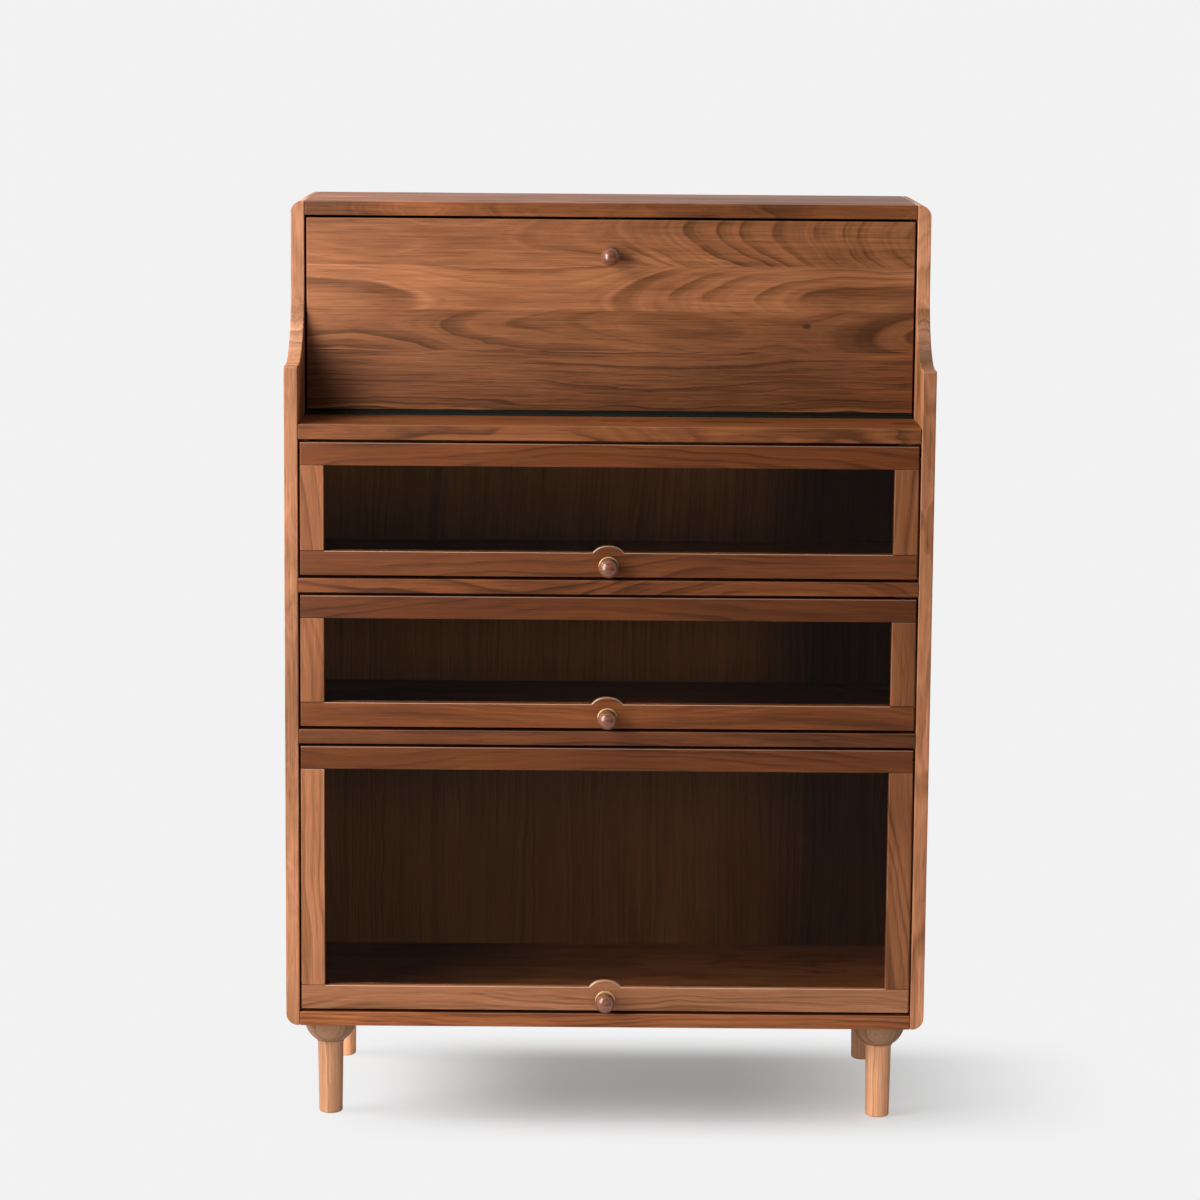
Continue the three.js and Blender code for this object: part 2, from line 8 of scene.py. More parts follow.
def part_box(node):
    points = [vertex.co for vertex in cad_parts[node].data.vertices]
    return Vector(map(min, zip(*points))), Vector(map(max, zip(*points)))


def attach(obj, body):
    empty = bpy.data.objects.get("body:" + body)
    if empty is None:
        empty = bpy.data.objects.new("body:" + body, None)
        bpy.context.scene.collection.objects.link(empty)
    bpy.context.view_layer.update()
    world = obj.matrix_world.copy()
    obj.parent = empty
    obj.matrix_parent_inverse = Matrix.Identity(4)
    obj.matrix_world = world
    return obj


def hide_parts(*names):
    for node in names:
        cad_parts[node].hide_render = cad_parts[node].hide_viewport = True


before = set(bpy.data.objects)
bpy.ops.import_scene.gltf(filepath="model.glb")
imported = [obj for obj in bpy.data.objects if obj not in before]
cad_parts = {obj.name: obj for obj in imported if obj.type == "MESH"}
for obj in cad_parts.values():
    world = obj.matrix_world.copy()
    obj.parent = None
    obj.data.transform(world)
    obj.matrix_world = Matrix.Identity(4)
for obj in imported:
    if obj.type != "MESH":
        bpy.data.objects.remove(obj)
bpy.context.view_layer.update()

# Looks of a walnut bar cabinet with a fold-out shelf and three glass doors, around its CAD pieces.
# Metres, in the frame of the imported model: X right, Y back, Z up. Angles in radians if not said.
MM = 0.001

# Camera, for a frame of 1200 by 1200 pixels
FRAME_PIXELS = 1200
FOCUS_PIXELS = 3645
SHIFT_RIGHT_PIXELS = -5
SHIFT_UP_PIXELS = 60
CAMERA_X = -0.0227
CAMERA_BACK = 5.0  # in front of the doors' faces
CAMERA_HEIGHT = 1.55
CAMERA_YAW = 0.0007
CAMERA_PITCH = 0.1419
CAMERA_ROLL = 0.0078
SENSOR_WIDTH = 36.0

# The pale page of floor and background
PAGE_COLOUR = (0.888, 0.888, 0.888, 1.0)
BLACK = (0.0, 0.0, 0.0, 1.0)
FLOOR_RADIUS = 12.0
FLOOR_SIDES = 96

# The floor's shadow: how far it is lifted to the page's colour, and from where to where it fades into it
SHADOW_LIFT = 0.29
SHADOW_LEFT = (-0.05, -0.5)
SHADOW_RIGHT = (0.15, 0.8)
SHADOW_FRONT = (-0.15, -0.29)
SHADOW_BACK = (0.12, 0.3)

# The floor in front is darker to gloss and to bounced light: from where to where, and by how much
FRONT_FLOOR = (-0.35, -0.9)
MIRRORED_DIM = 0.85
SCATTERED_DIM = 0.5

# Dome and sun
DOME = 0.33
DOME_BIAS = 0.6
GLOSS_SKY = (-0.75, 0.1)  # from dark in front to bright behind, as gloss sees the dome
SUN_STRENGTH = 3.35
SUN_SPREAD = 45.0  # degrees
SUN_DIRECTION = (-1.0, -0.15, 0.65)

# Near lamps: power, size, place, and the point that it faces
NEAR_LAMPS = {
    "key": (21.5, (0.6, 1.4), (-1.05, -0.88, 1.1), (0.0, -0.1, 0.75)),
    "top_light": (4.0, (1.0, 0.6), (-1.0, -0.4, 1.9), (-0.1, 0.0, 1.2)),
    "low_left": (2.6, (0.3, 0.3), (-0.85, -0.85, 0.15), (-0.4, -0.1, 0.25)),
    "low_right": (6.5, (0.8, 0.3), (0.4, -1.3, 0.12), (0.0, 0.1, 0.08)),
    "inner": (21.5, (0.6, 0.6), (1.0, -1.7, 0.85), (-0.1, 0.2, 0.6)),
    "over": (2.8, (0.3, 0.3), (-0.5, -0.02, 1.75), (-0.5, 0.05, 1.3)),
}

# The only pieces that these two light; the others light all but the floor and the back
LAMP_NODES = {"inner": ("back_panel",), "over": ("top_board", "side_panel_left")}
GLOSSY_LAMP = "key"

# Eased edges of the wooden pieces
BOARD_EASE = 1.4 * MM
FRAME_EASE = 1.2 * MM
EASE_SEGMENTS = 3
WELD_GAP = 0.01 * MM
FLAT_ANGLE = 0.017
EDGE_ANGLE = 0.56

# Bodies that move, each with a knob, a catch and a strike
DOORS = ("door_upper", "door_middle", "door_lower")
OWNERS = ("flap", *DOORS)


class Graph:
    """Short calls for building a node tree."""

    def __init__(self, tree):
        self.tree = tree
        tree.nodes.clear()

    def add(self, kind, inputs=None, **settings):
        """A new node, with settings as its own values and inputs as numbers or links to its sockets."""
        node = self.tree.nodes.new(kind)
        for key, value in settings.items():
            setattr(node, key, value)
        for key, value in (inputs or {}).items():
            self.feed(node.inputs[key], value)
        return node

    def feed(self, socket, value):
        if isinstance(value, bpy.types.NodeSocket):
            self.tree.links.new(value, socket)
        else:
            socket.default_value = value

    def math(self, operation, first, second=0.0, third=0.0):
        node = self.add("ShaderNodeMath", {0: first, 1: second, 2: third}, operation=operation)
        return node.outputs[0]

    def noise(self, place, scale, detail, roughness, dimensions="3D"):
        key = "W" if dimensions == "1D" else "Vector"
        inputs = {key: place, "Scale": scale, "Detail": detail, "Roughness": roughness}
        return self.add("ShaderNodeTexNoise", inputs, noise_dimensions=dimensions).outputs[0]

    def swing(self, value, size):
        """A noise value from 0 to 1, centred on zero and scaled."""
        return self.math("MULTIPLY", self.math("SUBTRACT", value, 0.5), size)

    def total(self, values):
        result = values[0]
        for value in values[1:]:
            result = self.math("ADD", result, value)
        return result

    def vector(self, x, y, z):
        return self.add("ShaderNodeCombineXYZ", {0: x, 1: y, 2: z}).outputs[0]

    def fade(self, value, start, end):
        """Goes smoothly from 0 at start to 1 at end."""
        inputs = {"Value": value, "From Min": start, "From Max": end}
        return self.add("ShaderNodeMapRange", inputs, interpolation_type="SMOOTHSTEP").outputs[0]

    def ramp(self, factor, stops):
        node = self.add("ShaderNodeValToRGB", {0: factor})
        elements = node.color_ramp.elements
        while len(elements) < len(stops):
            elements.new(1.0)
        for element, (position, colour) in zip(elements, stops):
            element.position = position
            element.color = (*colour, 1.0)
        return node.outputs[0]

    def blend(self, factor, first, second, kind="MIX"):
        node = self.add("ShaderNodeMix", data_type="RGBA", blend_type=kind)
        self.feed(node.inputs[0], factor)
        self.feed(node.inputs[6], first)
        self.feed(node.inputs[7], second)
        return node.outputs[2]

    def finish(self, shader):
        output = self.add("ShaderNodeOutputMaterial")
        self.tree.links.new(shader.outputs[0], output.inputs["Surface"])


def new_material(name):
    material = bpy.data.materials.new(name)
    material.use_nodes = True
    return material, Graph(material.node_tree)


# Walnut
WALNUT_STOPS = (
    (0.0, (0.066, 0.0215, 0.0045)),
    (0.25, (0.13, 0.0425, 0.012)),
    (0.5, (0.222, 0.0765, 0.026)),
    (0.75, (0.325, 0.119, 0.0455)),
    (1.0, (0.47, 0.19, 0.079)),
)
# The pale colour of the painted highlight on eased edges that face up
EDGE_SHEEN_COLOUR = (0.85, 0.66, 0.5, 1.0)
WALNUT_SPECULAR = 0.32
WALNUT_ROUGHNESS_SWING = -0.16
WALNUT_RELIEF = 0.4 * MM

# Places in the log, which set the planks apart, and how deep its heart lies
LOG_LENGTH = 40.0
LOG_DEPTH = 3.0
SEED_STEP = 7.31
SEED_SHARE = 0.37
HEART_DEPTH = 0.07
HEART_AWAY = 0.02
DRIFT_BLEND = 0.1

# Noise that moves the heart sideways and inwards along the grain: scale, detail, roughness
HEART_SIDE = (1.5, 1.0, 0.4)
HEART_SIDE_SWING = 0.04
HEART_WANDER = (2.1, 1.0, 0.4)
HEART_WANDER_SWING = 0.06

# Noise stretched along the grain: scale along it, scale across it, detail, roughness
WARP = (2.6, 12.0, 3.0, 0.6)
RIPPLE = (14.0, 60.0, 2.0, 0.5)
RING_GROUPS = (3.0, 24.0, 2.0, 0.5)
FIBRES = (12.0, 700.0, 3.0, 0.65)
STREAKS = (3.5, 300.0, 3.0, 0.6)
DASHES = (22.0, 640.0, 1.0, 0.5)
CLOUDS = (4.5, 16.0, 2.5, 0.55)
PORES = (120.0, 2300.0, 1.0, 0.5)
WARP_SWING = 0.04
RIPPLE_SWING = 0.005

# Noise across the rings: scale, detail, roughness
BANDS = (42.0, 2.0, 0.5)
RINGS = (300.0, 2.0, 0.6)
UNEVEN = (32.0, 1.0, 0.5)
UNEVEN_SWING = 3.0

# Dark ring ends, dashes and pores
RINGS_PER_METRE = 85.0
RING_POWER = 3.0
RING_END = (1.0, 0.9)
RING_GROUP_FADE = (0.32, 0.6)
DASH_FADE = (0.4, 0.28)
PORE_LIMIT = 0.35

# How much each layer changes the wood's tone and height
MIDDLE_TONE = 0.53
TONE_SWINGS = {"bands": 0.42, "rings": 0.45, "fibres": 0.7, "streaks": 0.4, "clouds": 0.55, "plank": 0.1}
LINE_TONE = -0.5
DASH_TONE = -0.2
PORE_TONE = -0.06
FIBRE_HEIGHT = 0.5
RING_HEIGHT_SWING = 0.3
PORE_HEIGHT = -0.8

# Painted highlight on eased edges that face up, standing in for the light from above that they catch,
# between these slants of their normals
BOARD_EDGE_SHEEN = 0.06
SHEEN_SLANT = (0.995, 0.85)
SHEEN_UP = (0.0, 0.3)

# Inputs of the walnut figure, and the plank's value for those that each plank sets
PLANK_INPUTS = {
    "Oval Place": "oval_place",
    "Oval Slope": "oval_slope",
    "Middle": "middle",
    "Light": "light",
    "Drift": "drift",
    "Drift Start": "drift_start",
}
FIGURE_INPUTS = ("Along", "Across", "Depth", "Seed", *PLANK_INPUTS, "Contrast")


def grain_noise(graph, place, along_scale, across_scale, detail, roughness):
    """Noise that is drawn out along the grain."""
    scales = (along_scale, across_scale, across_scale)
    scaled = [graph.math("MULTIPLY", part, scale) for part, scale in zip(place, scales)]
    return graph.noise(graph.vector(*scaled), 1.0, detail, roughness)


def ring_distance(graph, given, place, seed):
    """Distance from the log's heart, which wanders along the grain and so closes rings into arches."""
    along, across = place[:2]
    warp = graph.swing(grain_noise(graph, place, *WARP), WARP_SWING)
    ripple = graph.swing(grain_noise(graph, place, *RIPPLE), RIPPLE_SWING)
    sideways = graph.noise(graph.math("ADD", along, seed), *HEART_SIDE, "1D")
    side = graph.swing(sideways, HEART_SIDE_SWING)
    shifted = graph.total([across, side, warp, ripple])
    from_middle = graph.math("SUBTRACT", shifted, given["Middle"])

    inwards = graph.noise(graph.math("SUBTRACT", along, seed), *HEART_WANDER, "1D")
    wander = graph.swing(inwards, HEART_WANDER_SWING)
    away = graph.math("ABSOLUTE", graph.math("SUBTRACT", given["Along"], given["Oval Place"]))
    sloped = graph.math("MULTIPLY", away, graph.math("MULTIPLY", given["Oval Slope"], 1.0 / HEART_DEPTH))
    level = graph.math("MULTIPLY", graph.math("TANH", sloped), HEART_DEPTH)
    heart = graph.total([level, wander, HEART_AWAY])
    squares = graph.math(
        "ADD", graph.math("MULTIPLY", from_middle, from_middle), graph.math("MULTIPLY", heart, heart)
    )

    past_start = graph.math("SUBTRACT", given["Along"], given["Drift Start"])
    beyond = graph.math("SMOOTH_MAX", past_start, 0.0, DRIFT_BLEND)
    drift = graph.math("MULTIPLY", beyond, given["Drift"])
    return graph.total([graph.math("SQRT", squares), drift, graph.math("MULTIPLY", seed, SEED_SHARE)])


def ring_lines(graph, place, distance):
    """Each ring darkens slowly and ends sharply; some groups of rings are stronger."""
    count = graph.math("MULTIPLY", distance, RINGS_PER_METRE)
    uneven = graph.swing(graph.noise(distance, *UNEVEN, "1D"), UNEVEN_SWING)
    tooth = graph.math("FRACT", graph.math("ADD", count, uneven))
    late = graph.math("MULTIPLY", graph.math("POWER", tooth, RING_POWER), graph.fade(tooth, *RING_END))
    group = graph.fade(grain_noise(graph, place, *RING_GROUPS), *RING_GROUP_FADE)
    return graph.math("MULTIPLY", late, group)


def walnut_group():
    """Growth rings, fibres and pores of one sawn plank, in its own grain space."""
    tree = bpy.data.node_groups.new("walnut_figure", "ShaderNodeTree")
    for name in FIGURE_INPUTS:
        tree.interface.new_socket(name, in_out="INPUT", socket_type="NodeSocketFloat")
    for name, kind in (("Color", "Color"), ("Tone", "Float"), ("Height", "Float")):
        tree.interface.new_socket(name, in_out="OUTPUT", socket_type=f"NodeSocket{kind}")
    graph = Graph(tree)
    given = graph.add("NodeGroupInput").outputs

    # Each plank comes from another place in the log
    draw = graph.add("ShaderNodeTexWhiteNoise", {"W": given["Seed"]}, noise_dimensions="1D")
    random = graph.add("ShaderNodeSeparateColor", {0: draw.outputs["Color"]}).outputs
    along = graph.math("ADD", given["Along"], graph.math("MULTIPLY", random[0], LOG_LENGTH))
    depth = graph.math("ADD", given["Depth"], graph.math("MULTIPLY", random[1], LOG_DEPTH))
    place = (along, given["Across"], depth)
    seed = graph.math("MULTIPLY", given["Seed"], SEED_STEP)

    distance = ring_distance(graph, given, place, seed)
    bands = graph.noise(distance, *BANDS, "1D")
    rings = graph.noise(distance, *RINGS, "1D")
    lines = ring_lines(graph, place, distance)
    fibres, streaks, clouds, strokes, specks = (
        grain_noise(graph, place, *values) for values in (FIBRES, STREAKS, CLOUDS, DASHES, PORES)
    )
    dashes = graph.fade(strokes, *DASH_FADE)
    pores = graph.math("LESS_THAN", specks, PORE_LIMIT)

    layers = (bands, rings, fibres, streaks, clouds, random[2])
    changes = [graph.swing(layer, size) for layer, size in zip(layers, TONE_SWINGS.values())]
    changes.append(graph.math("MULTIPLY", lines, LINE_TONE))
    changes.append(graph.math("MULTIPLY", dashes, DASH_TONE))
    scaled = graph.math("MULTIPLY", graph.total(changes), given["Contrast"])
    tone = graph.total([scaled, graph.math("MULTIPLY", pores, PORE_TONE), given["Light"], MIDDLE_TONE])
    height = graph.total(
        [
            graph.swing(fibres, FIBRE_HEIGHT),
            graph.swing(rings, RING_HEIGHT_SWING),
            graph.math("MULTIPLY", pores, PORE_HEIGHT),
        ]
    )
    result = graph.add("NodeGroupOutput")
    graph.feed(result.inputs["Color"], graph.ramp(tone, WALNUT_STOPS))
    graph.feed(result.inputs["Tone"], tone)
    graph.feed(result.inputs["Height"], height)
    return tree


WALNUT = walnut_group()


class Plank:
    """One glued plank: its lower end, and how its rings lie.

    Its rings close into ovals about oval_place, faster with more oval_slope. The rings' heart lies at
    middle across the plank. Beyond drift_start, drift pulls the rings into arches. Light lifts the tone.
    """

    def __init__(self, end, oval_place, oval_slope, middle, light=0.0, drift=0.0, drift_start=0.0):
        self.end = end
        self.oval_place = oval_place
        self.oval_slope = oval_slope
        self.middle = middle
        self.light = light
        self.drift = drift
        self.drift_start = drift_start


def painted_edge_sheen(graph, edge_sheen):
    """How much painted highlight a point gets: more on eased edges that face up, where light from above
    would catch them.
    """
    normal = graph.add("ShaderNodeTexCoord").outputs["Normal"]
    parts = graph.add("ShaderNodeSeparateXYZ", {0: normal}).outputs
    sizes = [graph.math("ABSOLUTE", part) for part in parts]
    largest = graph.math("MAXIMUM", graph.math("MAXIMUM", sizes[0], sizes[1]), sizes[2])
    slanted = graph.math("MULTIPLY", graph.fade(largest, *SHEEN_SLANT), graph.fade(parts[2], *SHEEN_UP))
    return graph.math("MULTIPLY", slanted, edge_sheen)


def knot(graph, along, across, place):
    """A small dark knot, if the board has one."""
    if place is None:
        return 0.0
    away = [
        graph.math("MULTIPLY", graph.math("SUBTRACT", value, middle), 1.0 / size)
        for value, middle, size in zip((along, across), place, KNOT_SIZE)
    ]
    squares = graph.math("ADD", *(graph.math("MULTIPLY", value, value) for value in away))
    return graph.math("MULTIPLY", graph.fade(squares, *KNOT_FADE), KNOT_TONE)


def walnut(
    name,
    axes,
    seed,
    planks,
    tint,
    roughness=0.5,
    bump=0.12,
    contrast=1.0,
    edge_sheen=BOARD_EDGE_SHEEN,
    sheen_half=None,
    knot_place=None,
):
    """Walnut with its grain along the first axis, and planks stacked along the second, from high to low.

    The painted highlight on eased edges that face up reaches only so far from the middle of the grain as the
    given half length, or all along without it.
    """
    material, graph = new_material(name)
    place = graph.add("ShaderNodeTexCoord").outputs["Object"]
    parts = graph.add("ShaderNodeSeparateXYZ", {0: place}).outputs
    along, across, depth = (parts["XYZ".index(axis)] for axis in axes)
    below = [graph.math("LESS_THAN", across, plank.end) for plank in planks[:-1]]

    def by_plank(values):
        """The value of the plank that a point lies in."""
        result = values[0]
        for value, earlier, mask in zip(values[1:], values, below):
            result = graph.math("ADD", result, graph.math("MULTIPLY", mask, value - earlier))
        return result

    figure = graph.add("ShaderNodeGroup", node_tree=WALNUT)
    values = {"Along": along, "Across": across, "Depth": depth, "Contrast": contrast}
    values["Seed"] = by_plank([float(seed + number) for number in range(len(planks))])
    for key, attribute in PLANK_INPUTS.items():
        values[key] = by_plank([getattr(plank, attribute) for plank in planks])
    values["Light"] = graph.math("ADD", values["Light"], knot(graph, along, across, knot_place))
    for key, value in values.items():
        graph.feed(figure.inputs[key], value)
    tinted = graph.blend(1.0, figure.outputs["Color"], (*tint, 1.0), "MULTIPLY")
    sheen = painted_edge_sheen(graph, edge_sheen)
    if sheen_half:
        near = graph.math("LESS_THAN", graph.math("ABSOLUTE", along), sheen_half)
        sheen = graph.math("MULTIPLY", sheen, near)
    # Painted highlight: eased edges that face up are mixed toward a pale colour, for the light from above
    # that they catch
    colour = graph.blend(sheen, tinted, EDGE_SHEEN_COLOUR)
    rough = graph.math("ADD", graph.swing(figure.outputs["Tone"], WALNUT_ROUGHNESS_SWING), roughness)
    raised = {"Strength": bump, "Distance": WALNUT_RELIEF, "Height": figure.outputs["Height"]}
    relief = graph.add("ShaderNodeBump", raised)
    shader = graph.add(
        "ShaderNodeBsdfPrincipled",
        {
            "Base Color": colour,
            "Roughness": rough,
            "Normal": relief.outputs[0],
            "Specular IOR Level": WALNUT_SPECULAR,
        },
    )
    graph.finish(shader)
    return material


def dress(node, material):
    """Gives a CAD node its material."""
    piece = bpy.data.objects[node]
    for slot in piece.material_slots:
        slot.material = material
    return piece


def geometry_group(name):
    tree = bpy.data.node_groups.new(name, "GeometryNodeTree")
    for in_out in ("INPUT", "OUTPUT"):
        tree.interface.new_socket("Geometry", in_out=in_out, socket_type="NodeSocketGeometry")
    return Graph(tree)


def compare(graph, operation, first, second):
    inputs = {0: first, 1: second}
    return graph.add("FunctionNodeCompare", inputs, data_type="FLOAT", operation=operation).outputs[0]


def outline_group(planes):
    """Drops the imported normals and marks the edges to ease: sharp ones on this many sides of the box."""
    graph = geometry_group(f"outline_{planes}")
    given = graph.add("NodeGroupInput").outputs[0]
    plain = graph.add("GeometryNodeRemoveAttribute", {"Geometry": given, "Name": "custom_normal"})
    smooth = graph.add("GeometryNodeSetShadeSmooth", {"Geometry": plain.outputs[0]}, domain="FACE")
    box = graph.add("GeometryNodeBoundBox", {"Geometry": given})
    place = graph.add("GeometryNodeInputPosition").outputs[0]
    touched = []
    for corner in ("Min", "Max"):
        gap = graph.add("ShaderNodeVectorMath", {0: place, 1: box.outputs[corner]}, operation="SUBTRACT")
        for part in graph.add("ShaderNodeSeparateXYZ", {0: gap.outputs[0]}).outputs:
            touched.append(graph.math("LESS_THAN", graph.math("ABSOLUTE", part), 2 * WELD_GAP))
    enough = compare(graph, "GREATER_THAN", graph.total(touched), planes - 0.5)
    angle = graph.add("GeometryNodeInputMeshEdgeAngle").outputs[0]
    sharp = compare(graph, "GREATER_THAN", angle, EDGE_ANGLE)
    both = graph.add("FunctionNodeBooleanMath", {0: enough, 1: sharp}, operation="AND").outputs[0]
    store = {"Geometry": smooth.outputs[0], "Name": "bevel_weight_edge", "Value": both}
    marked = graph.add("GeometryNodeStoreNamedAttribute", store, domain="EDGE", data_type="FLOAT")
    result = graph.add("NodeGroupOutput")
    graph.feed(result.inputs[0], marked.outputs[0])
    return graph.tree


def crisp_group():
    """Keeps the edges that weren't eased sharp."""
    graph = geometry_group("crisp_edges")
    given = graph.add("NodeGroupInput").outputs[0]
    angle = graph.add("GeometryNodeInputMeshEdgeAngle").outputs[0]
    inputs = {
        "Geometry": given,
        "Selection": compare(graph, "GREATER_THAN", angle, EDGE_ANGLE),
        "Shade Smooth": False,
    }
    crisp = graph.add("GeometryNodeSetShadeSmooth", inputs, domain="EDGE")
    result = graph.add("NodeGroupOutput")
    graph.feed(result.inputs[0], crisp.outputs[0])
    return graph.tree


# A plain board is eased along its twelve edges; a shaped one all round its two faces
OUTLINES = {planes: outline_group(planes) for planes in (1, 2)}
CRISP = crisp_group()


def ease(piece, width, planes):
    """Rounds a board's edges without touching its mesh."""
    weld = piece.modifiers.new("weld", "WELD")
    weld.merge_threshold = WELD_GAP
    flat = piece.modifiers.new("flat", "DECIMATE")
    flat.decimate_type = "DISSOLVE"
    flat.angle_limit = FLAT_ANGLE
    outline = piece.modifiers.new("outline", "NODES")
    outline.node_group = OUTLINES[planes]
    bevel = piece.modifiers.new("ease", "BEVEL")
    bevel.width = width
    bevel.segments = EASE_SEGMENTS
    bevel.limit_method = "WEIGHT"
    bevel.use_clamp_overlap = False
    bevel.loop_slide = False
    crisp = piece.modifiers.new("crisp", "NODES")
    crisp.node_group = CRISP
    normals = piece.modifiers.new("normals", "WEIGHTED_NORMAL")
    normals.keep_sharp = True


# Planks of the boards, from high to low
FLAP_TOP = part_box("flap_panel")[1].z
# The flap's lower planks are darker than its upper ones: partly the planks' own tone and partly painted
# shade, for the light that falls less on the flap's lower part
FLAP_PLANKS = (
    Plank(FLAP_TOP - 65 * MM, 1.2, 0.04, FLAP_TOP - 22 * MM, 0.03, -0.28, 0.04),
    Plank(FLAP_TOP - 128 * MM, 0.55, 0.12, FLAP_TOP - 115 * MM, 0.06),
    Plank(FLAP_TOP - 185 * MM, 0.75, 0.07, FLAP_TOP - 150 * MM, -0.08),
    Plank(None, -0.1, 0.02, FLAP_TOP - 330 * MM, -0.12),
)
LEVEL_PLANKS = (
    Plank(125 * MM, 0.5, 0.05, 190 * MM),
    Plank(35 * MM, 0.9, 0.06, 80 * MM),
    Plank(-60 * MM, 0.3, 0.05, -20 * MM),
    Plank(None, 0.7, 0.06, -120 * MM),
)
SIDE_PLANKS = (
    *LEVEL_PLANKS[:2],
    Plank(-60 * MM, 0.3, 0.05, -20 * MM, 0.35),
    Plank(None, 0.7, 0.06, -120 * MM, 0.03),
)
BACK_PLANK = Plank(None, 0.5, 0.01, 0.7)
BEAD_PLANK = Plank(None, 0.0, 0.02, 0.2)
LEG_PLANK = Plank(None, 0.05, 0.1, 0.3)
COLLAR_PLANK = Plank(None, 0.3, 0.1, 0.1)

# The flap's knot: its place and half sizes, from where to where it darkens, and its tone
FLAP_KNOT = (277 * MM, FLAP_TOP - 148 * MM)
KNOT_SIZE = (8 * MM, 4.5 * MM)
KNOT_FADE = (1.0, 0.1)
KNOT_TONE = -0.4

# Tints, which the walnut's colours are multiplied by
FLAP_TINT = (1.0, 1.0, 1.0)
# The rails are tinted darker than the stiles as painted shade, standing in for the sheen that side light
# draws from upright grain but not from level grain. The left stiles are lighter than the right as painted
# light from the left.
TOP_RAIL_TINT_AND_SHADE = (0.62, 0.46, 0.24)
BOTTOM_RAIL_TINT_AND_SHADE = (0.7, 0.56, 0.38)
LEFT_STILE_TINT_AND_LIGHT = (1.0, 0.99, 1.05)
RIGHT_STILE_TINT_AND_SHADE = (0.8, 0.77, 0.72)
UPPER_DIVIDER_TINT = (0.63, 0.5, 0.35)
LOWER_DIVIDER_TINT = (0.42, 0.34, 0.26)
BOTTOM_TINT = (0.8, 0.68, 0.54)
SHELF_TINT = (0.7, 0.56, 0.42)
TOP_TINT = (0.82, 0.71, 0.54)
COUNTER_TINT = (0.78, 0.69, 0.56)
# The side panels are tinted far lighter than the other boards, as painted light on their lit front edges;
# the left one more, since the light comes from the left
LEFT_SIDE_TINT_AND_LIGHT = (1.45, 1.72, 2.35)
RIGHT_SIDE_TINT_AND_LIGHT = (1.45, 1.65, 2.1)
BACK_TINT = (0.43, 0.42, 0.275)

# Grain axes, seed, planks and tint
BOARDS = {
    "side_panel_left": ("ZYX", 11, SIDE_PLANKS, LEFT_SIDE_TINT_AND_LIGHT),
    "side_panel_right": ("ZYX", 27, SIDE_PLANKS, RIGHT_SIDE_TINT_AND_LIGHT),
    "top_board": ("XYZ", 31, LEVEL_PLANKS, TOP_TINT),
    "counter_board": ("XYZ", 42, LEVEL_PLANKS, COUNTER_TINT),
    "divider_upper": ("XZY", 55, (Plank(None, 0.2, 0.05, 0.75),), UPPER_DIVIDER_TINT),
    "divider_lower": ("XZY", 63, (Plank(None, -0.2, 0.05, 0.52),), LOWER_DIVIDER_TINT),
    "bottom_board": ("XZY", 77, (Plank(None, 0.1, 0.05, 0.1),), BOTTOM_TINT),
    "flap_panel": ("XZY", 84, FLAP_PLANKS, FLAP_TINT),
}
BACK_SEED = 91
BEAD_SEED = 171


def dress_boards():
    for node, (axes, seed, planks, tint) in BOARDS.items():
        knot_place = FLAP_KNOT if node == "flap_panel" else None
        planes = 1 if node.startswith("side_panel") else 2
        material = walnut(node, axes, seed, planks, tint, knot_place=knot_place)
        ease(dress(node, material), BOARD_EASE, planes)
    veneer = walnut("back_panel", "ZXY", BACK_SEED, (BACK_PLANK,), BACK_TINT, bump=0.1, contrast=0.6)
    dress("back_panel", veneer)


# Grain axes, painted highlight on the eased edges, tint, and how light the piece is painted in the upper,
# middle and lower door, as painted light and shade
FRAME_PARTS = {
    "top_rail": ("XZY", 0.14, TOP_RAIL_TINT_AND_SHADE, (0.86, 0.66, 0.7)),
    "bottom_rail": ("XZY", 0.36, BOTTOM_RAIL_TINT_AND_SHADE, (0.78, 0.94, 1.0)),
    "stile_left": ("ZXY", 0.1, LEFT_STILE_TINT_AND_LIGHT, (0.93, 0.93, 1.0)),
    "stile_right": ("ZXY", 0.1, RIGHT_STILE_TINT_AND_SHADE, (0.95, 0.98, 0.93)),
}
FRAME_CONTRAST = 0.72
FRAME_SEED = 100
FRAME_HEART = 40 * MM
# The lower door's bottom rail and left stile are painted paler, as painted light for the brighter light near
# the floor
FLOOR_BOUNCE_TINTS = {"door_lower_bottom_rail": (1.05, 1.18, 1.45), "door_lower_stile_left": (1.13, 1.24, 1.5)}


def dress_frames():
    seed = FRAME_SEED
    for number, door in enumerate(DOORS):
        for part, (axes, edge_sheen, tint, lit_tones) in FRAME_PARTS.items():
            node = f"{door}_{part}"
            shade = FLOOR_BOUNCE_TINTS.get(node, tuple(lit_tones[number] * value for value in tint))
            across = middle_of(node)["XYZ".index(axes[1])]
            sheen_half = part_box(f"{door}_stile_right")[0].x if part == "bottom_rail" else None
            plank = Plank(None, 0.1, 0.05, across - FRAME_HEART)
            material = walnut(
                node, axes, seed, (plank,), shade, contrast=FRAME_CONTRAST, edge_sheen=edge_sheen, sheen_half=sheen_half
            )
            ease(dress(node, material), FRAME_EASE, 1)
            seed += 1


# Turned pieces
LATHE_STEPS = 64
ARC_STEPS = 18
BALL_STEPS = 28
ROUNDING_STEPS = 8
CREASE_ANGLE = 38.0  # degrees
TURNS = {
    "up": (0.0, 0.0, 0.0),
    "down": (math.pi, 0.0, 0.0),
    "front": (math.pi / 2, 0.0, 0.0),
    "back": (-math.pi / 2, 0.0, 0.0),
}


